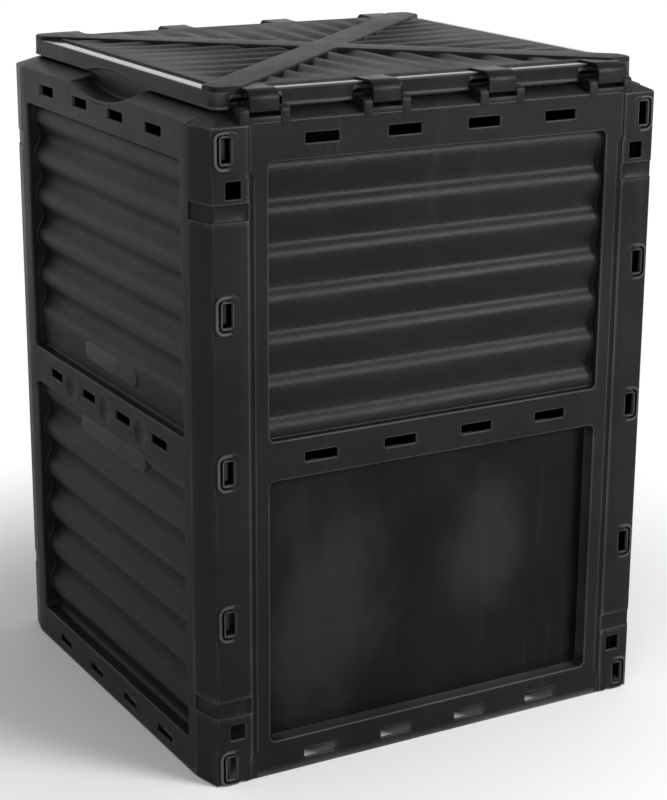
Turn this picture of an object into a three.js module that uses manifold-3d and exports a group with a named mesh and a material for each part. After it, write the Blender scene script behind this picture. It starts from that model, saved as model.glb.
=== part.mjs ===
// Garden compost bin with a lid: four snap-together plastic walls, two sliding
// hatches and a lid that hooks over pins. Millimetres, +Z up, the origin at the
// centre of the footprint on the ground. The front faces -Y.
import * as THREE from 'three';
import { mergeVertices } from 'three/addons/utils/BufferGeometryUtils.js';
import Module from 'manifold-3d';

const wasm = await Module();
wasm.setup();

// Overall sizes
const binWidth = 610;
const binDepth = 576;
const faceTop = 778;
const skin = 3;
const fitGap = 0.3;
const overrun = 1;

// Planes of the front wall, in from its outermost pads
const facePlane = 1.2;
const framePlane = 2.2;

// Corner columns, moulded as part of the front and back walls
const columnTopDrop = 2.5;
const stripWidth = 42.9;
const stripReturn = 20;
const cornerDrop = 8.4;
const cornerRadius = 4.2;
const columnFace = 42;
const valleyWidth = 7;
const valleyDepth = 2.5;
const grooveDepth = 1.3;
const grooveHeight = 19;
const grooveEdge = 87;

// Slots, their raised pads and square holes down each column
const columnSlotInset = 28;
const columnSlotWidth = 12.7;
const columnSlotHeight = 28;
const columnSlotFoot = 21.6;
const columnSlotDrop = 27.6;
const columnSlotCount = 5;
const padMargin = 6;
const padRound = 4;
const squareInset = 36.5;
const squareSize = 20.2;
const squareEdge = 66;
const squareTopEdge = 71.5;

// Bars and windows, alike on all four walls
const windowMargin = 18.4;
const windowRound = 5;
const bottomBar = 42;
const middleBar = 48;
const topBar = 45;
const lowerWindowRise = 324;
const revealBack = 21;
const barSlotLength = 43.5;
const barSlotHeight = 12;
const barSlotPitch = 105.5;
const barSlotCount = 4;
const topSlotDrop = 21.7;
const middleSlotRise = 23.5;
const bottomSlotRise = 17.7;

// Waved sheets in the windows
const waveCrest = 9;
const waveValley = 18;
const waveSteps = 6;
const upperWavePitch = 51;
const upperWaveFoot = 4;
const lowerWavePitch = 54;

// Side walls: snap tongues, dimples and two bare name fields
const endReturn = 33;
const tongueWidth = 7;
const tongueHeight = 23;
const tongueRecess = 4;
const tongueChamfer = 2;
const dimpleRadius = 16;
const dimpleDepth = 2;
const dimpleRise = 20;
const dimpleCount = 3;
const upperFieldHalf = 88;
const upperFieldRise = 40;
const lowerFieldHalf = 96;
const lowerFieldDrop = 31;
const fieldPlane = 7;

// Sloping shoulder and inner collar round the top
const shoulderInset = 27;
const shoulderRise = 9;
const collarInset = 31;
const collarRise = 10;
const collarRound = 10;
const scoopHalf = 80;
const scoopDrop = 11;

// Flange on the ground inside each wall
const footFlange = 15;

// Sliding hatches and their guides
const hatchLap = 10;
const hatchSkin = 3;
const hatchFootLap = 11.7;
const hatchHeadLap = 12;
const hatchFront = 22;
const hatchRound = 8;
const guideDrop = 88;
const guideLip = 10;
const guideGap = 0.5;

// Lid: a ledge round a plateau that furrows run into from crossed bands
const lidInset = 25;
const lidRound = 14;
const lidSkin = 2.5;
const skirtClearance = 3;
const skirtHeight = 20;
const ledgeWidth = 19;
const plateauRise = 2.5;
const bandRise = 2;
const bandWidth = 46;
const furrowPitch = 40;
const furrowDepth = 6.5;
const archHalf = 90;
const archRise = 9;

// Hinge seats, pins and the lid's straps
const strapInset = 75.2;
const strapCount = 4;
const strapWidth = 36;
const strapSkin = 3.5;
const pinRadius = 4;
const pinRise = 15;
const pinInset = 11;
const earWidth = 12;
const earGap = 0.7;
const earRise = 4.5;
const earBack = 8;
const seatRise = 5.5;
const legDrop = 4;
const legSkin = 3.7;
const strapBend = 12;
const strapShoulder = 8;
const strapRoot = 20;
const cutoutMargin = 2;
const cutoutRise = 12;
const cutoutRound = 6;

// Counts of flat steps that stand for round stretches
const cornerSteps = 3;
const padSteps = 2;
const fieldSteps = 8;
const roundSteps = 3;
const pinSides = 12;
const dimpleSides = 12;
const dimpleSteps = 3;
const furrowSides = 8;

// Derived places
const halfWidth = binWidth / 2;
const halfDepth = binDepth / 2;
const columnTop = faceTop - columnTopDrop;
const columnInner = halfWidth - cornerDrop - cornerRadius - columnFace;
const frameEdge = columnInner - valleyWidth;
const sideHalf = halfDepth - stripWidth - fitGap;
const lidHalfX = halfWidth - lidInset;
const lidHalfY = halfDepth - lidInset;
const lowerWindow = [bottomBar, bottomBar + lowerWindowRise];
const upperWindow = [bottomBar + lowerWindowRise + middleBar, faceTop - topBar];
const frontWindowHalf = frameEdge - windowMargin;
const sideWindowHalf = sideHalf - windowMargin;
const barSlotHeights = [faceTop - topSlotDrop, lowerWindow[1] + middleSlotRise, bottomSlotRise];
const dimpleHeight = lowerWindow[1] + dimpleRise;
const columnSlotPitch = (faceTop - columnSlotFoot - columnSlotDrop) / (columnSlotCount - 1);
const columnSlotHeights = Array.from(
  { length: columnSlotCount }, (_, i) => columnSlotFoot + i * columnSlotPitch);
const shoulderTop = faceTop + shoulderRise;
const collarTop = shoulderTop + collarRise;
const hatchHalf = frontWindowHalf + hatchLap;
const hatchFoot = lowerWindow[0] - hatchFootLap;
const hatchHead = lowerWindow[1] + hatchHeadLap;
const guideHead = faceTop - guideDrop;
const skirtFoot = shoulderTop + skirtClearance;
const ledgeTop = skirtFoot + skirtHeight;
const plateauTop = ledgeTop + plateauRise;
const bandTop = plateauTop + bandRise;
const strapPitch = (2 * (halfWidth - strapInset)) / (strapCount - 1);
const pinHeight = faceTop + pinRise;
const seatTop = faceTop + seatRise;

// Near-black plastic, satin on the walls and glossier on the flat hatches
const wallPlastic = new THREE.MeshStandardMaterial({ color: 0x17181a, roughness: 0.5, metalness: 0 });
const lidPlastic = new THREE.MeshStandardMaterial({ color: 0x1b1c1e, roughness: 0.5, metalness: 0 });
const hatchPlastic = new THREE.MeshStandardMaterial({ color: 0x141517, roughness: 0.32, metalness: 0 });

// A closed geometry as a solid that can be cut and joined.
function toSolid(geometry) {
  const bare = geometry.clone();
  bare.deleteAttribute('normal');
  bare.deleteAttribute('uv');
  const merged = mergeVertices(bare);
  const corners = Array.from(merged.index.array);
  const triangles = [];
  for (let i = 0; i < corners.length; i += 3) {
    const [a, b, c] = corners.slice(i, i + 3);
    if (a !== b && b !== c && c !== a) triangles.push(a, b, c);
  }
  const vertProperties = Float32Array.from(merged.attributes.position.array);
  const triVerts = Uint32Array.from(triangles);
  return new wasm.Manifold(new wasm.Mesh({ numProp: 3, vertProperties, triVerts }));
}

function toGeometry(solid) {
  const { vertProperties, triVerts } = solid.getMesh();
  const geometry = new THREE.BufferGeometry();
  geometry.setAttribute('position', new THREE.BufferAttribute(Float32Array.from(vertProperties), 3));
  geometry.setIndex(new THREE.BufferAttribute(Uint32Array.from(triVerts), 1));
  geometry.computeVertexNormals();
  return geometry;
}

const join = (solids) => solids.reduce((sum, solid) => sum.add(solid));
const cut = (solid, tools) => tools.reduce((rest, tool) => rest.subtract(tool), solid);
const mirrored = (points) => points.map(([x, y]) => [-x, y]).reverse();
const span = (count, pitch) => Array.from({ length: count }, (_, i) => (i - (count - 1) / 2) * pitch);
const bothSides = (make) => [-1, 1].flatMap(make);

function box([x0, x1], [y0, y1], [z0, z1]) {
  const geometry = new THREE.BoxGeometry(x1 - x0, y1 - y0, z1 - z0);
  geometry.translate((x0 + x1) / 2, (y0 + y1) / 2, (z0 + z1) / 2);
  return toSolid(geometry);
}

// An outline extruded along an axis: drawn in x,y for z, in y,z for x, in x,z for y.
function extrude(points, axis, [from, to]) {
  const shape = new THREE.Shape(points.map(([a, b]) => new THREE.Vector2(a, b)));
  const geometry = new THREE.ExtrudeGeometry(shape, { depth: to - from, bevelEnabled: false });
  if (axis === 'x') geometry.rotateY(Math.PI / 2).rotateX(Math.PI / 2).translate(from, 0, 0);
  if (axis === 'y') geometry.rotateX(Math.PI / 2).translate(0, to, 0);
  if (axis === 'z') geometry.translate(0, 0, from);
  return toSolid(geometry);
}

function arc([x, y], radius, startDegrees, endDegrees, steps) {
  return Array.from({ length: steps + 1 }, (_, step) => {
    const angle = THREE.MathUtils.degToRad(THREE.MathUtils.lerp(startDegrees, endDegrees, step / steps));
    return [x + radius * Math.cos(angle), y + radius * Math.sin(angle)];
  });
}

function roundedRectangle([x0, x1], [y0, y1], radius, steps = roundSteps) {
  return [
    ...arc([x1 - radius, y0 + radius], radius, -90, 0, steps),
    ...arc([x1 - radius, y1 - radius], radius, 0, 90, steps),
    ...arc([x0 + radius, y1 - radius], radius, 90, 180, steps),
    ...arc([x0 + radius, y0 + radius], radius, 180, 270, steps),
  ];
}

// A circular segment on a chord from -half to half, rising by a height.
function segment(half, rise) {
  const radius = (half * half + rise * rise) / (2 * rise);
  const sweep = THREE.MathUtils.radToDeg(Math.asin(half / radius));
  return arc([0, rise - radius], radius, 90 - sweep, 90 + sweep, fieldSteps);
}

// The path moved to its left by a distance, mitred at its corners.
function offsetPath(path, distance) {
  const normals = path.slice(1).map(([x, y], i) => {
    const length = Math.hypot(x - path[i][0], y - path[i][1]);
    return [(path[i][1] - y) / length, (x - path[i][0]) / length];
  });
  return path.map(([x, y], i) => {
    const before = normals[Math.max(i - 1, 0)];
    const after = normals[Math.min(i, normals.length - 1)];
    const scale = distance / (1 + before[0] * after[0] + before[1] * after[1]);
    return [x + (before[0] + after[0]) * scale, y + (before[1] + after[1]) * scale];
  });
}

const sheet = (path, thickness) => [...path, ...offsetPath(path, -thickness).reverse()];

// Walls are drawn in a wall frame: x along the wall, y into the bin from its
// outermost plane, z up. One drawing serves a wall and its twin opposite.

// Half of the front wall's plan outline, from the seam to the panel frame.
function columnPath() {
  const corner = halfWidth - cornerDrop;
  return [
    [halfWidth - stripReturn, stripWidth],
    [halfWidth, stripWidth],
    ...arc([corner - cornerRadius, facePlane + cornerRadius], cornerRadius, 0, -90, cornerSteps),
    [columnInner, facePlane],
    [columnInner - valleyWidth / 2, facePlane + valleyDepth],
    [frameEdge, framePlane],
  ];
}

// A block over the footprint whose top slopes in on all four sides.
function roof(halfAlong, halfAcross, slopeFoot) {
  const outline = (half) => [
    [-half, 0], [half, 0], [half, slopeFoot], [half - shoulderInset, shoulderTop],
    [shoulderInset - half, shoulderTop], [-half, slopeFoot],
  ];
  return extrude(outline(halfAlong), 'y', [-halfAcross, halfAcross])
    .intersect(extrude(outline(halfAcross), 'x', [-halfAlong, halfAlong]))
    .translate([0, halfAcross, 0]);
}

// The sloping shoulder and the collar inside it, all round the bin.
function rim(halfAlong, halfAcross, slopeFoot) {
  const block = roof(halfAlong, halfAcross, slopeFoot);
  const inside = (inset, z) => extrude(roundedRectangle([inset - halfAlong, halfAlong - inset],
    [inset, 2 * halfAcross - inset], collarRound + collarInset - inset, cornerSteps), 'z', z);
  const slab = block.subtract(block.translate([0, 0, -skin]));
  const collar = inside(collarInset, [shoulderTop - skin, collarTop]);
  return slab.add(collar).subtract(inside(collarInset + skin, [0, collarTop + overrun]));
}

// Depth of the waved sheet at a height above one of its crests.
function waveDepth(height, pitch) {
  const phase = (height / pitch) * 2 * Math.PI;
  return waveCrest + ((waveValley - waveCrest) * (1 - Math.cos(phase))) / 2;
}

function wavedSheet(half, [foot, head], crest, pitch) {
  const steps = Math.round(((head - foot) / pitch) * waveSteps);
  const front = Array.from({ length: steps + 1 }, (_, i) => {
    const z = THREE.MathUtils.lerp(foot - skin / 2, head + skin / 2, i / steps);
    return [waveDepth(z - crest, pitch), z];
  });
  const back = front.map(([y, z]) => [y + skin, z]).reverse();
  return extrude([...front, ...back], 'x', [-half - skin / 2, half + skin / 2]);
}

// A window's outline, grown by a margin.
function windowOutline(half, [foot, head], grow) {
  return roundedRectangle([-half - grow, half + grow], [foot - grow, head + grow], windowRound + grow);
}

// The walls of a window opening, running back from the face.
function reveal(half, window, plane) {
  return extrude(windowOutline(half, window, skin), 'y', [plane, revealBack])
    .subtract(extrude(windowOutline(half, window, 0), 'y', [plane - overrun, revealBack + overrun]));
}

function windowHole(half, window) {
  return extrude(windowOutline(half, window, 0), 'y', [-overrun, framePlane + skin + overrun]);
}

// Rows of slots through the three bars.
function barSlots() {
  return barSlotHeights.flatMap((z) => span(barSlotCount, barSlotPitch)
    .map((x) => box([x - barSlotLength / 2, x + barSlotLength / 2], [-overrun, framePlane + skin + overrun],
      [z - barSlotHeight / 2, z + barSlotHeight / 2])));
}

// The outline of a column slot as a plate or a hole, grown by a margin.
function columnSlot(side, z, grow, y) {
  const x = side * (halfWidth - columnSlotInset);
  const halfX = columnSlotWidth / 2 + grow;
  const halfZ = columnSlotHeight / 2 + grow;
  const outline = roundedRectangle([x - halfX, x + halfX], [z - halfZ, z + halfZ], padRound, padSteps);
  return extrude(outline, 'y', y);
}

function squareHole(side, z) {
  const x = side * (halfWidth - squareInset);
  return box([x - squareSize / 2, x + squareSize / 2], [-overrun, facePlane + skin + overrun],
    [z - squareSize / 2, z + squareSize / 2]);
}

// A shallow band cut round each column near its foot and its head.
function columnGrooves() {
  const path = columnPath().slice(1, -2);
  const outline = [...offsetPath(path, overrun), ...offsetPath(path, -grooveDepth).reverse()];
  return [grooveEdge, faceTop - grooveEdge - grooveHeight].flatMap((z) => [outline, mirrored(outline)]
    .map((points) => extrude(points, 'z', [z, z + grooveHeight])));
}

// Lipped guides that hold the hatch against the wall's back, and its ledge.
function guides() {
  const inner = hatchHalf + guideGap;
  const back = hatchFront + hatchSkin + guideGap;
  const front = framePlane + skin / 2;
  const foot = hatchFoot - fitGap;
  const profile = [
    [inner, front], [inner + skin, front], [inner + skin, back + skin], [inner - guideLip, back + skin],
    [inner - guideLip, back], [inner, back],
  ];
  const ledge = box([-inner - skin / 2, inner + skin / 2], [front, back + skin], [foot - skin, foot]);
  const upright = (points) => extrude(points, 'z', [foot - skin, guideHead]);
  return [ledge, upright(profile), upright(mirrored(profile))];
}

// A hinge seat on the shoulder: a base, two ears and the pin between them.
function hingeSeat(x) {
  const inner = strapWidth / 2 + earGap;
  const outer = inner + earWidth;
  const back = pinInset + earBack;
  const foot = faceTop - 2 * skin;
  const ear = [
    [framePlane, foot], [back, foot], ...arc([back - earRise, pinHeight], earRise, 0, 90, cornerSteps),
    ...arc([framePlane + earRise, pinHeight], earRise, 90, 180, cornerSteps),
  ];
  const base = box([x - outer, x + outer], [framePlane, back], [foot, seatTop]);
  const pin = new THREE.CylinderGeometry(pinRadius, pinRadius, 2 * inner + earWidth, pinSides);
  pin.rotateZ(Math.PI / 2);
  pin.translate(x, pinInset, pinHeight);
  const ears = [[x - outer, x - inner], [x + inner, x + outer]].map((ends) => extrude(ear, 'x', ends));
  return [base, toSolid(pin), ...ears];
}

function frontWall() {
  const path = [...columnPath(), ...mirrored(columnPath())];
  const middle = box([skin - frameEdge, frameEdge - skin], [0, stripWidth], [-overrun, collarTop + overrun]);
  const within = extrude(path.slice(1, -1), 'z', [-overrun, collarTop + overrun]);
  const shell = extrude(sheet(path, skin), 'z', [0, shoulderTop]);
  const columns = shell.subtract(middle).intersect(roof(halfWidth, halfDepth, columnTop));
  const frame = shell.intersect(middle).intersect(roof(halfWidth, halfDepth, faceTop));
  const shoulder = rim(halfWidth, halfDepth, faceTop).intersect(middle)
    .add(rim(halfWidth, halfDepth, columnTop).intersect(within).subtract(middle));
  const padPlate = [0, facePlane + skin];
  const pads = bothSides((side) => columnSlotHeights.map((z) => columnSlot(side, z, padMargin, padPlate)));
  const wall = join([
    cut(columns.add(frame), [lowerWindow, upperWindow].map((window) => windowHole(frontWindowHalf, window))),
    shoulder.intersect(within), box([-frameEdge, frameEdge], [framePlane, footFlange], [0, skin]), ...pads,
    reveal(frontWindowHalf, lowerWindow, framePlane), reveal(frontWindowHalf, upperWindow, framePlane),
    wavedSheet(frontWindowHalf, upperWindow, upperWindow[0] + upperWaveFoot, upperWavePitch),
    ...guides(), ...span(strapCount, strapPitch).flatMap(hingeSeat),
  ]);
  const holes = bothSides((side) => [
    ...columnSlotHeights.map((z) => columnSlot(side, z, 0, [-overrun, facePlane + skin + overrun])),
    squareHole(side, squareEdge), squareHole(side, faceTop - squareTopEdge),
  ]);
  return cut(wall, [...holes, ...columnGrooves(), ...barSlots()]);
}

// A tongue that reaches through the column into its slot.
function tongue(side, z) {
  const tip = halfDepth - tongueRecess;
  const root = sideHalf - skin;
  const near = columnSlotInset - tongueWidth / 2;
  const far = columnSlotInset + tongueWidth / 2;
  const outline = [
    [root, near], [tip - tongueChamfer, near], [tip, near + tongueChamfer], [tip, far - tongueChamfer],
    [tip - tongueChamfer, far], [root, far],
  ];
  return extrude(side < 0 ? mirrored(outline) : outline, 'z', [z - tongueHeight / 2, z + tongueHeight / 2]);
}

// The finger scoop through the shoulder, grown outwards for its own skin.
function scoop(grow, y) {
  const half = scoopHalf + grow;
  const bowl = segment(half, scoopDrop + grow).map(([x, z]) => [x, faceTop - z]);
  return extrude([...bowl, [-half, shoulderTop + overrun], [half, shoulderTop + overrun]], 'y', y);
}

// A shallow round dimple between two slots of the middle bar.
function dimple(x) {
  const radius = (dimpleRadius ** 2 + dimpleDepth ** 2) / (2 * dimpleDepth);
  const sweep = THREE.MathUtils.radToDeg(Math.asin(dimpleRadius / radius));
  const bowl = arc([0, dimpleDepth - radius], radius, 90 - sweep, 90, dimpleSteps);
  const outline = [[0, -overrun], [dimpleRadius, -overrun], ...bowl];
  const points = outline.map(([r, y]) => new THREE.Vector2(r, y));
  return toSolid(new THREE.LatheGeometry(points, dimpleSides).translate(x, 0, dimpleHeight));
}

function sideWall() {
  const path = [[sideHalf, endReturn], [sideHalf, 0], [-sideHalf, 0], [-sideHalf, endReturn]];
  const block = roof(halfDepth, halfWidth, faceTop);
  const zone = box([-sideHalf, sideHalf], [0, collarInset + skin], [0, collarTop]);
  const shell = extrude(sheet(path, skin), 'z', [0, shoulderTop]).intersect(block);
  const upperField = segment(upperFieldHalf, upperFieldRise).map(([x, z]) => [x, upperWindow[0] + z]);
  const lowerField = segment(lowerFieldHalf, lowerFieldDrop).map(([x, z]) => [x, lowerWindow[1] - z]);
  const wall = join([
    cut(shell, [windowHole(sideWindowHalf, lowerWindow), windowHole(sideWindowHalf, upperWindow)]),
    rim(halfDepth, halfWidth, faceTop).intersect(zone),
    scoop(skin, [0, collarInset + skin]).intersect(block),
    box([-sideHalf, sideHalf], [0, footFlange], [0, skin]),
    reveal(sideWindowHalf, lowerWindow, 0), reveal(sideWindowHalf, upperWindow, 0),
    wavedSheet(sideWindowHalf, upperWindow, upperWindow[0] + upperWaveFoot, upperWavePitch),
    wavedSheet(sideWindowHalf, lowerWindow, lowerWindow[0], lowerWavePitch),
    extrude(upperField, 'y', [fieldPlane, waveValley]), extrude(lowerField, 'y', [fieldPlane, waveValley]),
    ...columnSlotHeights.flatMap((z) => [tongue(-1, z), tongue(1, z)]),
  ]);
  const dimples = span(dimpleCount, barSlotPitch).map(dimple);
  return cut(wall, [...barSlots(), scoop(0, [-overrun, collarInset]), ...dimples]);
}

// The hatch: a flat sheet a little larger than the lower window.
function hatch() {
  return extrude(roundedRectangle([-hatchHalf, hatchHalf], [hatchFoot, hatchHead], hatchRound), 'y',
    [hatchFront, hatchFront + hatchSkin]);
}

// The lid is drawn closed, in the bin's own frame.

// A block over the lid's plan, drawn in by an inset.
function lidBlock(inset, z) {
  const x = lidHalfX - inset;
  const y = lidHalfY - inset;
  return extrude(roundedRectangle([-x, x], [-y, y], Math.max(lidRound - inset, lidSkin)), 'z', z);
}

// Raised flat bands from corner to corner, hollow from below.
function bands(grow, z) {
  const reach = Math.hypot(lidHalfX, lidHalfY);
  const angle = THREE.MathUtils.radToDeg(Math.atan2(lidHalfY, lidHalfX));
  const half = bandWidth / 2 + grow;
  return join(bothSides((side) => box([-reach, reach], [-half, half], z).rotate([0, 0, side * angle])))
    .intersect(lidBlock(-grow, z));
}

// Tapered furrows from the bands to the ledge, square to the edge on one side.
function furrows(half, reach, quarterTurns) {
  const end = half - ledgeWidth - lidSkin;
  const count = 2 * Math.floor((end - furrowPitch / 2) / furrowPitch) + 1;
  return span(count, furrowPitch).map((x) => {
    const start = (Math.abs(x) * reach) / half;
    const length = reach - ledgeWidth - lidSkin - start;
    const cone = new THREE.ConeGeometry(furrowPitch / 2, length, furrowSides);
    cone.scale(1, 1, (2 * furrowDepth) / furrowPitch).translate(x, start + length / 2, plateauTop);
    cone.rotateZ((quarterTurns * Math.PI) / 2);
    return toSolid(cone);
  });
}

// A strap from the plateau over the ledge and down round the pin, in y and z about the pin.
function strapOutline() {
  const edge = lidInset - pinInset;
  const rise = plateauTop - strapSkin - pinHeight;
  const inner = pinRadius + fitGap;
  const front = inner + legSkin;
  const overlap = lidSkin / 2;
  const bend = [strapBend - front, strapShoulder];
  return [
    [-front, -legDrop], ...arc(bend, strapBend, 180, 90, roundSteps), [edge, rise + strapSkin],
    [edge + strapRoot, rise + strapSkin], [edge + strapRoot, rise - overlap], [edge, rise - overlap],
    ...arc(bend, strapBend - strapSkin, 90, 165, roundSteps), ...arc([0, 0], front, 110, 0, roundSteps),
    [front, -legDrop], [inner, -legDrop], ...arc([0, 0], inner, 0, 180, 2 * roundSteps), [-inner, -legDrop],
  ];
}

function straps() {
  const outline = strapOutline().map(([y, z]) => [y + pinInset - halfDepth, z + pinHeight]);
  const atX = (x) => [x - strapWidth / 2, x + strapWidth / 2];
  return span(strapCount, strapPitch).flatMap((x) => [
    extrude(outline, 'x', atX(x)), extrude(mirrored(outline), 'x', atX(x)),
  ]);
}

// Cut-outs in the skirt round the hinge seats, and arches over the scoops.
function skirtCuts() {
  const half = strapWidth / 2 + earGap + earWidth + cutoutMargin;
  const foot = skirtFoot - cutoutRound;
  const head = skirtFoot + cutoutRise;
  const seats = span(strapCount, strapPitch).map((x) => extrude(
    roundedRectangle([x - half, x + half], [foot, head], cutoutRound), 'y', [-halfDepth, halfDepth]));
  const arch = segment(archHalf, archRise).map(([y, z]) => [y, skirtFoot + z]);
  const sill = [[-archHalf, skirtFoot - overrun], [archHalf, skirtFoot - overrun]];
  return [...seats, extrude([...arch, ...sill], 'x', [-halfWidth, halfWidth])];
}

function lid() {
  const allFurrows = [
    ...furrows(lidHalfX, lidHalfY, 0), ...furrows(lidHalfY, lidHalfX, 1),
    ...furrows(lidHalfX, lidHalfY, 2), ...furrows(lidHalfY, lidHalfX, 3),
  ];
  const tray = cut(lidBlock(0, [skirtFoot, ledgeTop]), [
    lidBlock(lidSkin, [skirtFoot - overrun, ledgeTop - lidSkin]),
    lidBlock(ledgeWidth + lidSkin, [skirtFoot, ledgeTop + overrun]),
  ]);
  const plateau = lidBlock(ledgeWidth, [ledgeTop - lidSkin, plateauTop])
    .subtract(lidBlock(ledgeWidth + lidSkin, [skirtFoot, plateauTop - lidSkin]));
  const under = lidBlock(ledgeWidth, [skirtFoot, plateauTop])
    .intersect(join(allFurrows.map((furrow) => furrow.translate([0, 0, -lidSkin]))));
  const furrowed = cut(plateau.add(under), allFurrows);
  const bandFoot = plateauTop - furrowDepth - lidSkin;
  const top = join([cut(tray, skirtCuts()), furrowed, bands(0, [bandFoot, bandTop])]);
  return join([top.subtract(bands(-lidSkin, [skirtFoot, bandTop - lidSkin])), ...straps()]);
}

// Assembly: a wall's drawing turned and moved to each side that it serves.

const bin = new THREE.Group();

function add(name, geometry, material, turn = 0, place = [0, 0, 0]) {
  const mesh = new THREE.Mesh(geometry, material);
  mesh.name = name;
  mesh.rotation.z = turn;
  mesh.position.set(...place);
  bin.add(mesh);
}

const frontGeometry = toGeometry(frontWall());
const sideGeometry = toGeometry(sideWall());
const hatchGeometry = toGeometry(hatch());

add('front_wall', frontGeometry, wallPlastic, 0, [0, -halfDepth, 0]);
add('back_wall', frontGeometry, wallPlastic, Math.PI, [0, halfDepth, 0]);
add('left_wall', sideGeometry, wallPlastic, -Math.PI / 2, [-halfWidth, 0, 0]);
add('right_wall', sideGeometry, wallPlastic, Math.PI / 2, [halfWidth, 0, 0]);
add('front_hatch', hatchGeometry, hatchPlastic, 0, [0, -halfDepth, 0]);
add('back_hatch', hatchGeometry, hatchPlastic, Math.PI, [0, halfDepth, 0]);
add('lid', toGeometry(lid()), lidPlastic);

export default bin;
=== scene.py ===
"""Looks of a garden compost bin with a lid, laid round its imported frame."""
import math

import bpy
import numpy as np
from mathutils import Matrix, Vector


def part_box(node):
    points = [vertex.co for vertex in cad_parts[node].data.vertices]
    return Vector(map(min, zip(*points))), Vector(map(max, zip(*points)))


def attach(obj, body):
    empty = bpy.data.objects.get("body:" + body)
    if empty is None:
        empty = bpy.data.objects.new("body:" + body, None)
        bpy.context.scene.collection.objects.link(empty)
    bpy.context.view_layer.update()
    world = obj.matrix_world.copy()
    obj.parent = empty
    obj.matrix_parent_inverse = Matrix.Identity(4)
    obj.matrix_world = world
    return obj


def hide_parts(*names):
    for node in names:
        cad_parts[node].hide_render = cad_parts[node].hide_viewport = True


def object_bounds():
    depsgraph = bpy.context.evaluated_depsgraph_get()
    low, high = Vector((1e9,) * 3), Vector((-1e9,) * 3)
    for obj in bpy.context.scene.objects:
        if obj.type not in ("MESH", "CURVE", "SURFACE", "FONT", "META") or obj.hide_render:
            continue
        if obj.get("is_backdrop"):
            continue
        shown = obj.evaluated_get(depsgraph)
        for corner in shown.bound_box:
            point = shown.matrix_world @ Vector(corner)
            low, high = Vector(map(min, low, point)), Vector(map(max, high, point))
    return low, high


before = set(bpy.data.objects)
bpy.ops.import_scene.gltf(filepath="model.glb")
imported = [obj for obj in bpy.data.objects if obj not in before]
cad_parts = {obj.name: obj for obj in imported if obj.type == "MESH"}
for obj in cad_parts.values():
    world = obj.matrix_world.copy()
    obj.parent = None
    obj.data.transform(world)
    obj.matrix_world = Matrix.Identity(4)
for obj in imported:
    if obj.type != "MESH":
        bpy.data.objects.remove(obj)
CAD_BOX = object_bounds()

bl_info = {
    "name": "Compost Bin",
    "version": (1, 0, 0),
    "blender": (4, 5, 0),
    "location": "3D View > Sidebar > Compost Bin",
    "description": "Moulded walls, sliding hatches and a furrowed lid for a garden compost bin",
    "category": "Object",
}

# Shapes are worked out in millimetres and put into meshes in metres.
MM = 0.001
SHARP_ANGLE = 38.0


def node_box(name):
    """Lowest and highest corner of a node of the frame, in millimetres."""
    low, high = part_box(name)
    return np.array(low) / MM, np.array(high) / MM


def middles(across, heights):
    """Middles of like holes at every place across and every height."""
    return [(x, z) for z in heights for x in across]


# Overall places, from the frame
WALL_LOW, WALL_HIGH = node_box("front_wall")
LID_TOP_CORNER = node_box("lid")[1]
HATCH_LOW, HATCH_HIGH = node_box("front_hatch")
HALF_WIDTH = WALL_HIGH[0]
HALF_DEPTH = -WALL_LOW[1]
STRIP_WIDTH = 42.9
FIT_GAP = 0.3

# Walls: skin, planes and the corner columns
SKIN = 3.0
FACE_TOP = 778.0
FACE_PLANE = 1.2
FRAME_PLANE = 2.2
FOOT_ROUND = 0.8
TOP_ROUND = 2.4
FACE_ENDS = (FOOT_ROUND, FACE_TOP - TOP_ROUND - 0.2)
SHARP_INSIDE = 0.4
CORNER_ROUND = 3.6
CORNER_REACH = 9.34
CORNER_FACE = HALF_WIDTH - CORNER_REACH - 4.0
STRIP_RETURN = 20.0
SEAM_ROUND = 1.6
VALLEY_EDGE = 250.4
VALLEY_FLOOR = 246.2
FRAME_EDGE = 242.0
VALLEY_DROP = 2.6
COLUMN_DROP = 2.5
GROOVES = ((87.0, 106.0), (672.0, 691.0))
GROOVE_DEPTH = 1.9
SIDE_HALF = HALF_DEPTH - STRIP_WIDTH - FIT_GAP
SIDE_RETURN = 33.0

# Where a column's face starts to curve, where the curve ends, its rise at the start and its last fall
COLUMN_CURVE = (262.0, 294.0, -0.9, 2.0)
CURVE_FADE = 9.0

# The frame covers part of the valley above and below these heights
COVERED_EDGE = 248.5
COVERED_HEIGHTS = (26.0, 722.0)
COVERED_BLEND = 10.0

# Slots, pads and squares of the columns
SLOT_INSET = 28.0
SLOT_X = HALF_WIDTH - SLOT_INSET
SLOT_HALF = (6.35, 14.0)
SLOT_ROUND = 2.0
SLOT_HEIGHTS = 21.6 + 182.2 * np.arange(5)
PAD_MARGIN = 8.5
PAD_RISE = 1.2
LIP_WIDTH = 2.0
LIP_GROOVE = 3.0
LIP_DEPTH = 2.6
SQUARE_X = HALF_WIDTH - 36.5
SQUARE_HALF = (10.1, 10.1)
SQUARE_HEIGHTS = (66.0, FACE_TOP - 71.5)
SQUARE_ROUND = 1.2

# Bars, their slots and the windows
BAR_SLOT_HALF = (21.75, 6.0)
BAR_SLOT_ROUND = 2.4
BAR_SLOT_PITCH = 105.5
BAR_SLOT_X = BAR_SLOT_PITCH * (np.arange(4) - 1.5)
BAR_SLOT_HEIGHTS = (FACE_TOP - 21.7, 389.5, 17.7)
WINDOWS = LOWER_WINDOW, UPPER_WINDOW = (42.0, 366.0), (414.0, FACE_TOP - 45.0)
WINDOW_ROUND = 7.0
WINDOW_BEND = (3.4, 8.0)
WINDOW_EDGE = 2.0
WINDOW_FILLET = 3.0
FRONT_WINDOW = 225.0
SIDE_WINDOW = SIDE_HALF - 18.4
REVEAL_BACK = 21.0
DRAFT = 0.35

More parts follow.
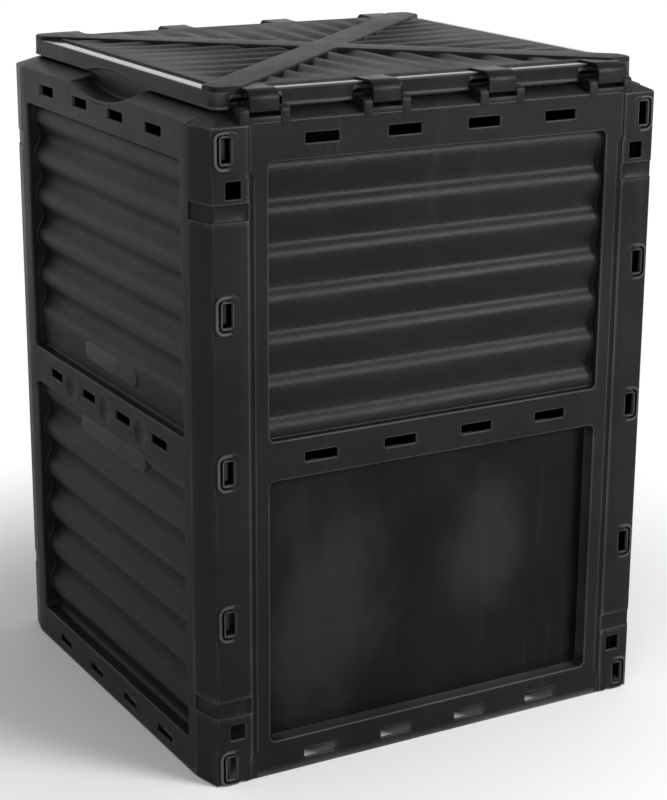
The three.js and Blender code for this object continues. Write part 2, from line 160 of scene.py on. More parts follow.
# Holes: middles, half size, corner radius, how far outside its outline the grid's bend holds and
# reaches, and the share of the full rounding at its rim
HOLE_RIM = 0.8
INNER_RIM = 0.02
BAR_HOLES = (middles(BAR_SLOT_X, BAR_SLOT_HEIGHTS), BAR_SLOT_HALF, BAR_SLOT_ROUND, (1.4, 4.0), 1)
SLOT_HOLES = (middles((-SLOT_X, SLOT_X), SLOT_HEIGHTS), SLOT_HALF, SLOT_ROUND, (9.0, 11.5), 1)
SQUARE_HOLES = (middles((-SQUARE_X, SQUARE_X), SQUARE_HEIGHTS), SQUARE_HALF, SQUARE_ROUND, (0.6, 1.2), 0.5)
END_HOLES = (SLOT_HOLES, SQUARE_HOLES, BAR_HOLES)
SIDE_HOLES = (BAR_HOLES,)

# Waved sheets: the end walls' lapped one, and the side walls' two as (a crest's height, pitch)
WAVE_CREST = 9.0
WAVE_VALLEY = 18.0
LAP_DEPTHS = (9.4, 16.2)
LAP_VALLEY = 491.6
LAP_PITCH = 50.0
LAP_SHARES = (0, 0.046, 0.089, 0.13, 0.17, 0.23, 0.32, 0.385, 0.456, 0.53, 0.63, 0.73, 0.81, 0.88, 0.954, 1)
LAP_SLOPES = (0, 0.12, 0.47, 0.62, 0.65, 0.45, 0.14, 0, -0.14, -0.25, -0.33, -0.40, -0.30, -0.18, -0.07, 0)
SIDE_UPPER_WAVE = (509.0, 51.8)
SIDE_LOWER_WAVE = (134.0, 55.3)
CREST_BREADTH = 1.25

# The side walls' upper sheet ends in a flat foot: its height, its fall and the length of the fall
SHEET_FOOT = (457.2, 2.5, 30.0)

# Dimples, bare fields as (half width, low, high) and tongues of the side walls
DIMPLE_X = BAR_SLOT_PITCH * (np.arange(3) - 1)
DIMPLE_Z = 386.0
DIMPLE_RADIUS = 16.0
DIMPLE_DEPTH = 2.2
FIELD_PLANE = 8.4
FIELD_ROUND = 10.0
FIELD_EDGE = 1.4
FIELDS = ((76.0, 432.0, 457.0), (97.0, 331.0, 356.0))
TONGUE_WIDTH = 6.0
TONGUE_HEIGHT = 23.0
TONGUE_RECESS = 10.0
TONGUE_ROUND = 2.0

# Shoulder, collar, finger scoops and foot flange
SHOULDER = (27.0, 787.0)
COLLAR_INSET = 31.0
COLLAR_TOP = 797.0
COLLAR_ROUND = 10.0
COLLAR_RETURN = 12.0
SCOOP_HALF = 80.0
SCOOP_DROP = 11.0
SCOOP_SIDE_SLOPE = 2.5
SCOOP_BLEND = 13.0
FOOT_FLANGE = 15.0

# Hinge seats and pins
STRAP_X = 153.2 * (np.arange(4) - 1.5)
STRAP_HALF = 18.0
PIN_INSET = 11.0
PIN_HEIGHT = 793.0
PIN_RADIUS = 4.0
PIN_SUNK = 1.0
EAR_GAP = 0.7
EAR_WIDTH = 12.0
EAR_FRONT = FRAME_PLANE - 0.2
EAR_BACK = 19.0
EAR_RISE = 1.5
EAR_ROUNDS = (0.5, 0.5, 4.0, 6.0)
EAR_EDGE = 1.3
SEAT_FRONT = FRAME_PLANE + 0.2
SEAT_FOOT = FACE_TOP - 6.0
SEAT_TOP = 783.5

# Lid
LID_INSET = 25.0
LID_HALF = (LID_TOP_CORNER[0], HALF_DEPTH - LID_INSET)
LID_ROUND = 14.0
LID_SKIN = 2.5
SKIRT_FOOT = 790.0
LEDGE_TOP = 810.0
SKIRT_TOP = LEDGE_TOP - 2.4
LEDGE_WIDTH = 19.0
LEDGE_ROUND = 2.2
PLATEAU_TOP = 812.5
BAND_TOP = LID_TOP_CORNER[2]
BAND_HALF = 23.0
BAND_EDGE = 2.4
BAND_WALL = 3.0
BAND_JOINT_ROUND = 5.0
FURROW_PITCH = 40.0
FURROW_DEPTH = 6.5
FURROW_STEPS = 16
SECTOR_ROWS = 26
SECTOR_TIP = 2.4
ARCH_HALF = 90.0
ARCH_RISE = 9.0
CUTOUT_HALF = STRAP_HALF + EAR_GAP + EAR_WIDTH + 2.0
CUTOUT_RISE = 12.0
CUTOUT_ROUND = 6.0

# Straps: skin, skin of the hook, length over the plateau, radius and height of the bend
STRAP_SKIN = 3.5
HOOK_SKIN = 3.7
STRAP_ROOT = 20.0
STRAP_BEND = 12.0
BEND_HEIGHT = 8.0
HOOK_FOOT = -4.0

# The skirt as (inset, rise above its foot, share of the way up to the ledge), with the bead at its
# foot; outside from the foot up, and inside from the ledge down
SKIRT_OUTSIDE = (
    (0.5, 0, 0), (-0.25, 0.3, 0), (-0.55, 1.0, 0), (-0.55, 2.2, 0), (-0.1, 3.2, 0), (0, 4.2, 0),
    (0.1, 0, 0.6), (0.2, 0, 1))
SKIRT_INSIDE = (
    (LID_SKIN + 0.4, 0, 1), (LID_SKIN, 4.2, 0), (LID_SKIN - 0.4, 0.3, 0), (LID_SKIN - 0.9, 0, 0))

# Last rows of a sector, turned down onto the ledge: how far out and how far down
SECTOR_END = ((0.55, 0.15), (0.9, 0.6), (1.05, 1.2), (1.1, 2.0), (1.15, 2.7))

# Hatches and their guides
HATCH_ROUND = 8.0
HATCH_BEND = (3.0, 8.0)
HATCH_EDGE = 0.8
HATCH_SKIN = SKIN - 0.3
HATCH_FRONT = 22.0
HATCH_WARP = 1.2
HATCH_RIPPLE = (37.0, 45.0)
GUIDE_INNER = HATCH_HIGH[0] + 0.5
GUIDE_BACK = HATCH_FRONT + SKIN + 0.5
GUIDE_HEAD = 690.0
GUIDE_LIP = 10.0
GUIDE_FOOT = HATCH_LOW[2] - FIT_GAP
GUIDE_ROUNDS = (0.2, 0.2, 3.0, 1.2, 0.6, 0.4)

# Camera: the photo's viewpoint, in millimetres, degrees and pixels
IMAGE = (667, 800)
FOCAL_PIXELS = 2062.965
AXIS_PIXEL = (339.42, 391.93)
CAMERA_PLACE = (-1248.43, -2244.42, 1143.77)
CAMERA_TURNS = {"yaw": 29.593, "pitch": 16.863, "roll": -0.365}
SENSOR = 36.0
CLIP_END = 60.0

# Softboxes: name, place in metres, side in metres and power in watts
LIGHT_TARGET = (0, 0, 0.45)
SOFTBOXES = (
    ("softbox_right", (1.7, -2.7, 1.7), 1.3, 130),
    ("softbox_left", (-2.2, -2.4, 1.3), 1.0, 20),
)

# Floor in metres: half size, height, and how far out it turns white to the camera and in reflections
FLOOR_REACH = 12.0
FLOOR_HEIGHT = -0.0005
FLOOR_SEEN_WHITE = (0.42, 1.0)
FLOOR_MIRRORED_WHITE = (0.8, 4.5)

# Widest steps of the grids, and the close lines at each kind of edge as distances from it
FRAME_STEP = 15.0
COLUMN_STEP = 6.0
SIDE_STEP = 18.0
HATCH_STEP = 12.0
END_ROW_STEP = 9.0
SIDE_ROW_STEP = 4.4
LAP_STEP = 2.2
LID_STEPS = (9.0, 4.5)
RIM_SPREAD = (-2.2, -0.8, -0.4, -0.12, 0.0, 1.4, 2.8)
PAD_SPREAD = (-1.0, -0.6, -0.2, 0.2, 0.6)
LIP_SPREAD = (-0.25, 0.1, 0.45)
SQUARE_SPREAD = (-1.2, -0.5, -0.2, 0.0, 1.2)
WINDOW_SPREAD = (-8, -5, -3.0, -2.0, -1.3, -0.7, -0.25, 0, DRAFT, 0.8, 1.5, 2.4, 3.4, 5, 7)
FRAME_EDGE_SPREAD = (-4.1, -3, -2, -1, 0, 1.5)
VALLEY_SPREAD = (0, 1, 2, 3, 4.1)
DIMPLE_SPREAD = (-16.5, -15, -12.5, -9.5, -6, -2, 2, 6, 9.5, 12.5, 15, 16.5)
SCOOP_SPREAD = (-5, -2.5, -1, 0, 1.2, 2.4, 3.6, 5)
HATCH_SPREAD = (0, 0.3, 0.8, 1.6, 3, 5, 7, 9)
CUTOUT_SPREAD = (-2, -0.6, 0, 0.6, 1.2, 2.2, 3.5, 5, 6.5)
CLOSEST_LINES = 0.08


# Grid lines

def even(low, high, step):
    """Evenly spaced numbers from low to high, no further apart than step."""
    return np.linspace(low, high, max(math.ceil((high - low) / step), 1) + 1)


def grid_lines(low, high, step, edges):
    """Grid lines from low to high: close lines at each edge, and even ones between them.

    Each edge is (place, direction, spread); its lines lie at place plus direction times spread.
    """
    close = [[low, high]] + [place + direction * np.array(spread) for place, direction, spread in edges]
    close = np.concatenate(close)
    close = np.unique(np.round(close[(close >= low) & (close <= high)], 3))
    close = close[np.concatenate([[True], np.diff(close) > CLOSEST_LINES])]
    close[-1] = high
    return np.concatenate([even(a, b, step)[:-1] for a, b in zip(close[:-1], close[1:])] + [[high]])


def both_ends(low, high, spread):
    """The two edges of something from low to high, with the spread running inwards from each."""
    return [(low, 1, spread), (high, -1, spread)]


def both_ways(places, half, spread):
    """The two edges of each of several like things centred on these places."""
    return [edge for place in places for edge in both_ends(place - half, place + half, spread)]


# Distances and rounded profiles

def within(x, z, centre, half, radius, grow=0.0):
    """Distance inside the outline of a rounded rectangle, negative outside it."""
    a = abs(x - centre[0]) - half[0] + radius
    b = abs(z - centre[1]) - half[1] + radius
    return radius + grow - np.hypot(np.maximum(a, 0), np.maximum(b, 0)) - np.minimum(np.maximum(a, b), 0)


def round_corners(x, z, centre, half, radius, keep, reach):
    """Bends the grid lines at a rectangle's four corners so that they run round its rounded outline.

    A line at distance m inside the outline becomes an arc of radius minus m about the corner's own
    centre, and beyond keep outside the outline the bend fades out towards reach.
    """
    a = half[0] - abs(x - centre[0])
    b = half[1] - abs(z - centre[1])
    m, n = np.minimum(a, b), np.maximum(a, b)
    bent = (n < radius) & (m > -reach)
    arm = np.maximum(radius - m, 1e-6)
    turn = (math.pi / 4) * (1 - (n - m) / arm)
    turn = np.where(a < b, turn, math.pi / 2 - turn)
    fade = np.where(bent, np.clip((m + reach) / (reach - keep), 0, 1), 0)
    across = abs(x - centre[0]) * (1 - fade) + (half[0] - radius + arm * np.cos(turn)) * fade
    up = abs(z - centre[1]) * (1 - fade) + (half[1] - radius + arm * np.sin(turn)) * fade
    return centre[0] + np.sign(x - centre[0]) * across, centre[1] + np.sign(z - centre[1]) * up


def convex(s, radius):
    """Fall of a quarter-round edge that starts at s of minus radius and is upright at s of zero."""
    t = np.clip(s + radius, 0, radius)
    return radius - np.sqrt(radius**2 - t**2)


def smooth(t):
    """Smooth step from 0 to 1 as t goes from 0 to 1."""
    t = np.clip(t, 0, 1)
    return t * t * (3 - 2 * t)


def circle_of(half, rise):
    """Radius of a circle from half a chord and the arc's rise over it."""
    return (half**2 + rise**2) / (2 * rise)


def arc(centre, radius, start, end, steps):
    """Points on a circle from one angle to another, in degrees."""
    turns = np.radians(np.linspace(start, end, steps + 1))
    return np.array(centre) + radius * np.column_stack([np.cos(turns), np.sin(turns)])


def rounded(points, radii, steps=4, closed=False):
    """The polyline with an arc of its own radius at each corner; a radius of 0 keeps the corner."""
    points = np.array(points, float)
    out = []
    for i, (point, radius) in enumerate(zip(points, radii)):
        inner = closed or 0 < i < len(points) - 1
        if not inner or radius == 0:
            out.append(point)
            continue
        back = points[i - 1] - point
        on = points[(i + 1) % len(points)] - point
        back, on = back / np.hypot(*back), on / np.hypot(*on)
        half_angle = math.acos(np.clip(back @ on, -1, 1)) / 2
        centre = point + (back + on) / np.hypot(*(back + on)) * radius / math.sin(half_angle)
        start, end = (point + way * radius / math.tan(half_angle) - centre for way in (back, on))
        sweep = math.atan2(start[0] * end[1] - start[1] * end[0], start @ end)
        turns = np.linspace(0, sweep, steps + 1)[:, None]
        out += list(centre + start * np.cos(turns) + start[::-1] * (-1, 1) * np.sin(turns))
    return np.array(out)


def rectangle(low, high, radius, steps):
    """A rounded rectangle's outline between two corners, counter-clockwise."""
    corners = [(low[0], low[1]), (high[0], low[1]), (high[0], high[1]), (low[0], high[1])]
    return rounded(corners, [radius] * 4, steps, True)


def side_normals(path):
    """Unit normals on the left of an open path, before and after each of its points."""
    way = np.diff(np.array(path, float), axis=0)
    way /= np.hypot(*way.T)[:, None]
    normal = np.column_stack([-way[:, 1], way[:, 0]])
    return np.concatenate([normal[:1], normal]), np.concatenate([normal, normal[-1:]])


def path_normals(path):
    """Unit normals on the left of an open path, averaged at its corners."""
    normal = sum(side_normals(path))
    return normal / np.hypot(*normal.T)[:, None]


def offset_path(path, distance):
    """The corners of an open path moved to its left, mitred."""
    before, after = side_normals(path)
    return path + (before + after) * (distance / (1 + (before * after).sum(1)))[:, None]


def mirrored(path):
    """A path's mirror image at the middle of the wall, in the opposite order."""
    return (path * (-1, 1))[::-1]


# Closed bodies, as points and faces

def shell(outer, inner, keep=None):
    """A thin closed body between two like grids of points, over the cells in keep.

    Every edge of a kept cell without a kept neighbour gets a rim from the outer to the inner grid.
    The grids' first direction turned towards their second gives the outward normal of the outer grid.
    """
    rows, columns = outer.shape[:2]
    keep = np.ones((rows - 1, columns - 1), bool) if keep is None else keep
    index = np.arange(rows * columns).reshape(rows, columns)
    corners = np.stack([index[:-1, :-1], index[1:, :-1], index[1:, 1:], index[:-1, 1:]], -1)
    count = rows * columns
    faces = [corners[keep], corners[keep][:, ::-1] + count]
    walled = np.pad(keep, 1)
    neighbours = (walled[1:-1, :-2], walled[2:, 1:-1], walled[1:-1, 2:], walled[:-2, 1:-1])
    for side, neighbour in enumerate(neighbours):
        edge = corners[keep & ~neighbour][:, [side, (side + 1) % 4]]
        faces.append(np.column_stack([edge[:, 1], edge[:, 0], edge[:, 0] + count, edge[:, 1] + count]))
    used, faces = np.unique(np.concatenate(faces), return_inverse=True)
    points = np.concatenate([outer.reshape(-1, 3), inner.reshape(-1, 3)])[used]
    return points, faces.reshape(-1, 4).tolist()


def ring_faces(rings, count):
    """Faces between rings of points, ring by ring, the last of them from the last ring to the first."""
    index = np.arange(rings * count).reshape(rings, count)
    on, beside = np.roll(index, -1, 0), np.roll(index, -1, 1)
    return np.stack([index, beside, np.roll(on, -1, 1), on], -1)


def ringed(outline, stations):
    """A body of rings of one outline, each drawn in by an inset, with a cap on the first and last.

    The points come as (along, first, second), a right-handed order.
    """
    outline = np.array(outline, float)
    beside = np.roll(outline, -1, 0)
    if (outline[:, 0] * beside[:, 1] - outline[:, 1] * beside[:, 0]).sum() < 0:
        outline = outline[::-1]
    before, after = outline - np.roll(outline, 1, 0), np.roll(outline, -1, 0) - outline
    before, after = (way / np.hypot(*way.T)[:, None] for way in (before, after))
    inward = np.column_stack([-before[:, 1] - after[:, 1], before[:, 0] + after[:, 0]])
    inward /= np.maximum(1 + (before * after).sum(1), 0.35)[:, None]
    count = len(outline)
    rings = [np.column_stack([np.full(count, x), outline + inward * inset]) for x, inset in stations]
    quads = ring_faces(len(rings), count)
    caps = [quads[0, ::-1, 0].tolist(), quads[-1, :, 0].tolist()]
    return np.concatenate(rings), quads[:-1].reshape(-1, 4).tolist() + caps


def slab(outline, ends, radius, steps=3):
    """A solid with an outline in two directions and two ends along the third, rounded at both."""
    turns = np.linspace(0, math.pi / 2, steps + 1)
    rise, inset = radius * (1 - np.cos(turns)), radius * (1 - np.sin(turns))
    low = list(zip(ends[0] + rise, inset))
    return ringed(outline, low + [(ends[0] + ends[1] - x, drawn) for x, drawn in low[::-1]])


ALONG_Y = (1, 0, 2)
ALONG_Z = (1, 2, 0)


def swapped(part, order):
    """A body with its directions in another order; an odd order also turns its faces round."""
    points, faces = part
    return points[:, order], [face[::-1] for face in faces] if order == ALONG_Y else faces


def block(low, high, radius):
    """A block between two corners with all its edges rounded."""
    return slab(rectangle(low[1:], high[1:], radius, 2), (low[0], high[0]), radius * 0.6, 2)


def turned(part, quarters, offset=(0, 0, 0)):
    """A body turned about Z by quarter turns and then moved."""
    points, faces = part
    cosine, sine = round(math.cos(quarters * math.pi / 2)), round(math.sin(quarters * math.pi / 2))
    x, y, z = points.T
    points = np.column_stack([x * cosine - y * sine, x * sine + y * cosine, z])
    return points + np.array(offset, float), faces


def make_piece(name, parts, body, material, node):
    """One object of several closed bodies, in metres, smooth except at edges past an angle."""
    points, faces, start = [], [], 0
    for part_points, part_faces in parts:
        points.append(part_points)
        faces += [[corner + start for corner in face] for face in part_faces]
        start += len(part_points)
    mesh = bpy.data.meshes.new(name)
    mesh.from_pydata((np.concatenate(points) * MM).tolist(), [], faces)
    mesh.polygons.foreach_set("use_smooth", np.ones(len(mesh.polygons), bool))
    mesh.set_sharp_from_angle(angle=math.radians(SHARP_ANGLE))
    mesh.update()
    mesh.materials.append(material)
    piece = bpy.data.objects.new(name, mesh)
    bpy.context.scene.collection.objects.link(piece)
    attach(piece, body)
    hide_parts(node)


# Surfaces of the walls, in the wall frame: x along the wall, y into the bin, z up

def wave(z, crest, pitch):
    """Depth of a side wall's sheet: a cosine raised to a power, for broad crests and tight valleys."""
    swing = (1 - np.cos((z - crest) / pitch * 2 * math.pi)) / 2
    return WAVE_CREST + (WAVE_VALLEY - WAVE_CREST) * swing**CREST_BREADTH


def lapped_wave(z):
    """Depth of an end wall's sheet: slopes at shares of the way down one wave, summed up and scaled.

    From the valley it comes out steeply, rounds a broad crest and falls back more gently.
    """
    share = np.linspace(0, 1, 401)
    slope = np.interp(share, LAP_SHARES, LAP_SLOPES)
    out = np.concatenate([[0], np.cumsum(slope[1:] + slope[:-1])])
    out -= share * out[-1]
    out = (out - out.min()) / (out.max() - out.min())
    down = (LAP_VALLEY - z) / LAP_PITCH % 1
    crest, valley = LAP_DEPTHS
    return valley - (valley - crest) * np.interp(down, share, out)


def window_frame(half, window, grow=0.0):
    """Middle and half size of a window from half its width and its two heights."""
    low, high = window
    return (0, (low + high) / 2), (half + grow, (high - low) / 2 + grow)


def sunk_window(depth, x, z, half, window, floor, grow, fillet=WINDOW_FILLET):
    """A window sunk into a wall: a rounded edge, an upright reveal and a fillet onto the floor."""
    s = within(x, z, *window_frame(half, window, grow), WINDOW_ROUND + grow)
    top = depth + convex(s, WINDOW_EDGE)
    bottom = floor - convex(DRAFT - s, fillet) if fillet else floor
    return top + (bottom - top) * np.clip(s / DRAFT, 0, 1)


def bent_lines(x, z, holes, window_half):
    """The grid bent round the corners of a wall's holes and windows."""
    for places, half, radius, bend, _ in holes:
        for place in places:
            x, z = round_corners(x, z, place, half, radius, *bend)
    for window in WINDOWS:
        x, z = round_corners(x, z, *window_frame(window_half, window), WINDOW_ROUND, *WINDOW_BEND)
    return x, z


def cell_middles(s):
    """Mean of a value at the four corners of each cell."""
    return (s[:-1, :-1] + s[1:, :-1] + s[1:, 1:] + s[:-1, 1:]) / 4


def cut_holes(depth, x, z, holes, inner):
    """Rounds the rims of a wall's holes, and marks the cells that stay."""
    keep = np.ones((x.shape[0] - 1, x.shape[1] - 1), bool)
    for places, half, radius, _, share in holes:
        rim = share * (INNER_RIM if inner else HOLE_RIM)
        for place in places:
            s = within(x, z, place, half, radius)
            keep &= cell_middles(s) < 0.01
            depth = depth + convex(s, rim)
    return depth, keep


def face_columns(low, high, step, window_half, edges):
    """Grid places along a wall's face, with close lines at its windows, its bars' slots and other edges."""
    edges = edges + both_ends(-window_half, window_half, WINDOW_SPREAD)
    return grid_lines(low, high, step, edges + both_ways(BAR_SLOT_X, BAR_SLOT_HALF[0], RIM_SPREAD))


def face_rows(step, edges):
    """Grid heights of a wall's face, with close lines at the same things."""
    for window in WINDOWS:
        edges = edges + both_ends(*window, WINDOW_SPREAD)
    return grid_lines(*FACE_ENDS, step, edges + both_ways(BAR_SLOT_HEIGHTS, BAR_SLOT_HALF[1], RIM_SPREAD))


def rim_rows(heights):
    """Rows of a wall as (level, push, height), for its outer and its inner surface.

    Level 0 is the wall's own plan, level 1 the collar's and level 2 the collar's inner side. Push
    is a distance inwards. The rows run from the foot up the face, over the shoulder and up the collar.
    """
    slope_in, slope_top = SHOULDER
    last = heights[-1]
    under, inside = slope_top - SKIN, COLLAR_INSET + SKIN
    outer = rounded([(0, last), (0, FACE_TOP), (slope_in, slope_top), (COLLAR_INSET, slope_top),
                     (COLLAR_INSET, COLLAR_TOP)], [0, TOP_ROUND, 6, 1.6, 0])[1:-1]
    inner = rounded([(SKIN, last - 2), (SKIN, FACE_TOP - 2), (slope_in + 1, under), (inside, under),
                     (inside, COLLAR_TOP)], [0, SHARP_INSIDE, 3, 1.6, 0])[1:-1]
    outer = np.column_stack([outer[:, 0] / COLLAR_INSET, np.zeros(len(outer)), outer[:, 1]])
    inner = np.column_stack([(inner[:, 0] - SKIN) / COLLAR_INSET, np.zeros(len(inner)), inner[:, 1]])
    face = np.column_stack([np.zeros_like(heights), np.zeros_like(heights), heights])
    back = face.copy()
    near_top = heights > last - 8
    back[near_top, 2] -= (heights[near_top] - last + 8) / 4
    rim = [(1, 0, COLLAR_TOP - 1), (1.12, 0, COLLAR_TOP - 0.25), (1.35, 0, COLLAR_TOP)]
    inner_rim = [(1, 0, COLLAR_TOP - 1), (0.988, 0, COLLAR_TOP - 0.25), (0.966, 0, COLLAR_TOP - 0.02)]
    foot, inner_foot = ([(0, side * FOOT_ROUND, 0), (0, side * 0.25, 0.25)] for side in (1, -1))
    return np.concatenate([foot, face, outer, rim]), np.concatenate([inner_foot, back, inner, inner_rim])


def wall_body(along, paths, heights, surface, settle):
    """A wall's shell from plan paths and rows of heights.

    The paths are the wall's own plan and the collar's, each as its outer and its inner line. A
    point is its row's plan path at its column, moved in by the surface's depth along the plan's
    normal; the depth fades out from the wall's plan to the collar's. Surface gives the bent
    (x, z, depth, keep) of the grid, and settle lowers the rim.
    """
    plan, plan_inner, collar, collar_inner = paths
    normal = path_normals(plan)
    column = np.arange(len(along))[:, None]
    grids, kept = [], []
    stacks = ((plan, collar, collar_inner), (plan_inner, collar_inner))
    for rows, stack, inner in zip(rim_rows(heights), stacks, (False, True)):
        x = np.repeat(along[:, None], len(rows), 1)
        level, push, z = (np.repeat(values[None], len(along), 0) for values in rows.T)
        bent_x, bent_z, depth, keep = surface(x, z, inner)
        below = np.clip(level.astype(int), 0, len(stack) - 2)
        share = (level - below)[..., None]
        stack = np.stack(stack)
        line = stack[below, column] * (1 - share) + stack[below + 1, column] * share
        own = np.clip(1 - level, 0, 1)
        place = line + normal[:, None] * (depth * own + push)[..., None]
        place[..., 0] += (bent_x - x) * own
        grids.append(np.dstack([place, settle(bent_x, bent_z, level)]))
        kept.append(keep)
    return shell(grids[0], grids[1], kept[0])


def plan_path(face, face_end, side):
    """A plan over the given places on the face, drawn out so that they meet the side's first point."""
    front = np.column_stack([face * (side[0][0] / face_end), np.full_like(face, side[0][1])])
    return np.concatenate([front, side])


def end_wall_paths(face, face_end):
    """Plans of an end wall's half: face, rounded corner, side and rounded edge onto the seam.

    They are the wall's own and the collar's, each as its outer and its inner line, and always have
    as many points.
    """
    reach, seam = HALF_WIDTH - CORNER_REACH, STRIP_WIDTH
    plan = [(0, FACE_PLANE), (reach, FACE_PLANE), (HALF_WIDTH, seam), (HALF_WIDTH - STRIP_RETURN, seam)]
    inside = HALF_WIDTH - COLLAR_INSET
    collar = [(0, COLLAR_INSET), (inside, COLLAR_INSET), (inside, seam), (inside - COLLAR_RETURN, seam)]
    paths = []
    for corners, radius in ((plan, CORNER_ROUND), (collar, COLLAR_ROUND)):
        for inset, edge in ((0, SEAM_ROUND), (SKIN, SHARP_INSIDE)):
            side = rounded(offset_path(corners, inset), [0, radius - inset, edge, 0], 6)[1:]
            side = np.concatenate([side[:7], np.linspace(side[6], side[7], 6)[1:-1], side[7:]])
            paths.append(plan_path(face, face_end, side))
    return paths


def valley_depth(across, z):
    """Depth of an end wall's face from the frame over the valley onto the column.

    The valley is a squared sine, shallower and narrower where the frame covers it.
    """
    low, high = COVERED_HEIGHTS
    covered = smooth((z - high + 4) / COVERED_BLEND) + smooth((low + 4 - z) / COVERED_BLEND)
    edge = FRAME_EDGE + (COVERED_EDGE - FRAME_EDGE) * np.sqrt(covered)
    t = (across - edge) / (VALLEY_EDGE - edge)
    hollow = VALLEY_DROP * np.sin(math.pi * np.clip(t, 0, 1)) ** 2 * (1 - 0.8 * np.clip(covered, 0, 1))
    return (FRAME_PLANE - FACE_PLANE) * (1 - smooth(t)) + hollow


def column_depth(x, z, depth):
    """A column's face: a slight curve, flat grooves round it and the lipped pads of its slots."""
    across = abs(x)
    start, end, top, fall = COLUMN_CURVE
    curve = top * smooth((across - VALLEY_EDGE) / (start - VALLEY_EDGE))
    curve = curve + fall * np.clip((across - start) / (end - start), 0, 1) ** 2
    depth = depth + curve * smooth((end + CURVE_FADE - across) / CURVE_FADE)
    for low, high in GROOVES:
        s = (high - low) / 2 - abs(z - (low + high) / 2)
        band = smooth((s + 0.6) / 1.0) * smooth((across - VALLEY_EDGE + 1) / 1.5)
        depth = depth * (1 - band) + GROOVE_DEPTH * band
    for place in SLOT_HOLES[0]:
        s = within(x, z, place, SLOT_HALF, SLOT_ROUND, PAD_MARGIN)
        pad = smooth((s + 0.8) / 1.3)
        lip = s - PAD_MARGIN + LIP_WIDTH
        ring = smooth((lip + LIP_GROOVE + 0.2) / 0.6) * smooth((0.2 - lip) / 0.6)
        ring = ring * smooth((np.sign(place[0]) * x - SLOT_X + 4) / 4)
        depth = depth * (1 - pad) - PAD_RISE * pad + LIP_DEPTH * ring
    return depth


def end_wall_surface(x, z, inner):
    """Bent places and depth of an end wall: valleys, columns, windows and holes."""
    x, z = bent_lines(x, z, END_HOLES, FRONT_WINDOW)
    depth = valley_depth(abs(x), z)
    if not inner:
        depth = column_depth(x, z, depth)
    grow = SKIN if inner else 0.0
    opened = REVEAL_BACK - FACE_PLANE - (SKIN if inner else HOLE_RIM)
    depth = sunk_window(depth, x, z, FRONT_WINDOW, UPPER_WINDOW, lapped_wave(z) - FACE_PLANE, grow)
    depth = sunk_window(depth, x, z, FRONT_WINDOW, LOWER_WINDOW, opened, grow, 0)
    depth, keep = cut_holes(depth, x, z, END_HOLES, inner)
    keep &= cell_middles(within(x, z, *window_frame(FRONT_WINDOW, LOWER_WINDOW), WINDOW_ROUND)) < DRAFT
    return x, z, depth, keep


def end_wall_settle(x, z, level):
    """Height of an end wall's points: the columns' tops are lower than the frame's."""
    share = smooth((abs(x) - FRAME_EDGE) / (VALLEY_EDGE - FRAME_EDGE)) * smooth((z - FACE_TOP + 13) / 10)
    return z - COLUMN_DROP * share * np.clip(1 - level, 0, 1)


def end_wall_frame():
    """The middle of an end wall between the two valleys."""
    edges = both_ends(-FRAME_EDGE, FRAME_EDGE, FRAME_EDGE_SPREAD)
    face = face_columns(-VALLEY_FLOOR, VALLEY_FLOOR, FRAME_STEP, FRONT_WINDOW, edges)
    paths = [path[:len(face)] for path in end_wall_paths(face, CORNER_FACE)]
    low, high = UPPER_WINDOW
    rows = face_rows(END_ROW_STEP, [(low, 1, np.arange(0, high - low, LAP_STEP))])
    return wall_body(face, paths, rows, end_wall_surface, end_wall_settle)


def end_wall_column(sign):
    """One corner column of an end wall, from its valley round the corner to the seam."""
    edges = [(VALLEY_FLOOR, 1, VALLEY_SPREAD), (CORNER_FACE, -1, (0, 1))]
    rows = [edge for groove in GROOVES for edge in both_ends(*groove, PAD_SPREAD)]
    across, up = (edges, [SLOT_X], [SQUARE_X]), (rows, SLOT_HEIGHTS, SQUARE_HEIGHTS)
    for axis, (lines, slots, squares) in enumerate((across, up)):
        lines += both_ways(slots, SLOT_HALF[axis], RIM_SPREAD)
        lines += both_ways(slots, SLOT_HALF[axis] + PAD_MARGIN, PAD_SPREAD)
        lines += both_ways(squares, SQUARE_HALF[axis], SQUARE_SPREAD)
    for width in (LIP_WIDTH, LIP_WIDTH + LIP_GROOVE):
        edges.append((SLOT_X + SLOT_HALF[0] + width, -1, LIP_SPREAD))
        rows += both_ways(SLOT_HEIGHTS, SLOT_HALF[1] + width, LIP_SPREAD)
    paths = end_wall_paths(grid_lines(VALLEY_FLOOR, CORNER_FACE, COLUMN_STEP, edges)[:-1], CORNER_FACE)
    along = VALLEY_FLOOR + np.concatenate([[0], np.cumsum(np.hypot(*np.diff(paths[0], axis=0).T))])
    if sign < 0:
        along, paths = -along[::-1], [mirrored(path) for path in paths]
    rows = grid_lines(*FACE_ENDS, END_ROW_STEP, rows)
    return wall_body(along, paths, rows, end_wall_surface, end_wall_settle)


def guides():
    """Two uprights that hold the hatch and the ledge that it stands on."""
    front, back = FRAME_PLANE + SKIN / 2, GUIDE_BACK
    profile = np.array([
        (GUIDE_INNER, front), (GUIDE_INNER + SKIN, front), (GUIDE_INNER + SKIN, back + SKIN),
        (GUIDE_INNER - GUIDE_LIP, back + SKIN), (GUIDE_INNER - GUIDE_LIP, back), (GUIDE_INNER, back)])
    ends = (GUIDE_FOOT - SKIN, GUIDE_HEAD)
    outlines = [rounded(profile * (sign, 1), GUIDE_ROUNDS, 3, True) for sign in (-1, 1)]
    reach = GUIDE_INNER + SKIN / 2
    ledge = block((-reach, front, GUIDE_FOOT - SKIN), (reach, back + SKIN, GUIDE_FOOT), 0.6)
    return [swapped(slab(outline, ends, 0.6, 2), ALONG_Z) for outline in outlines] + [ledge]


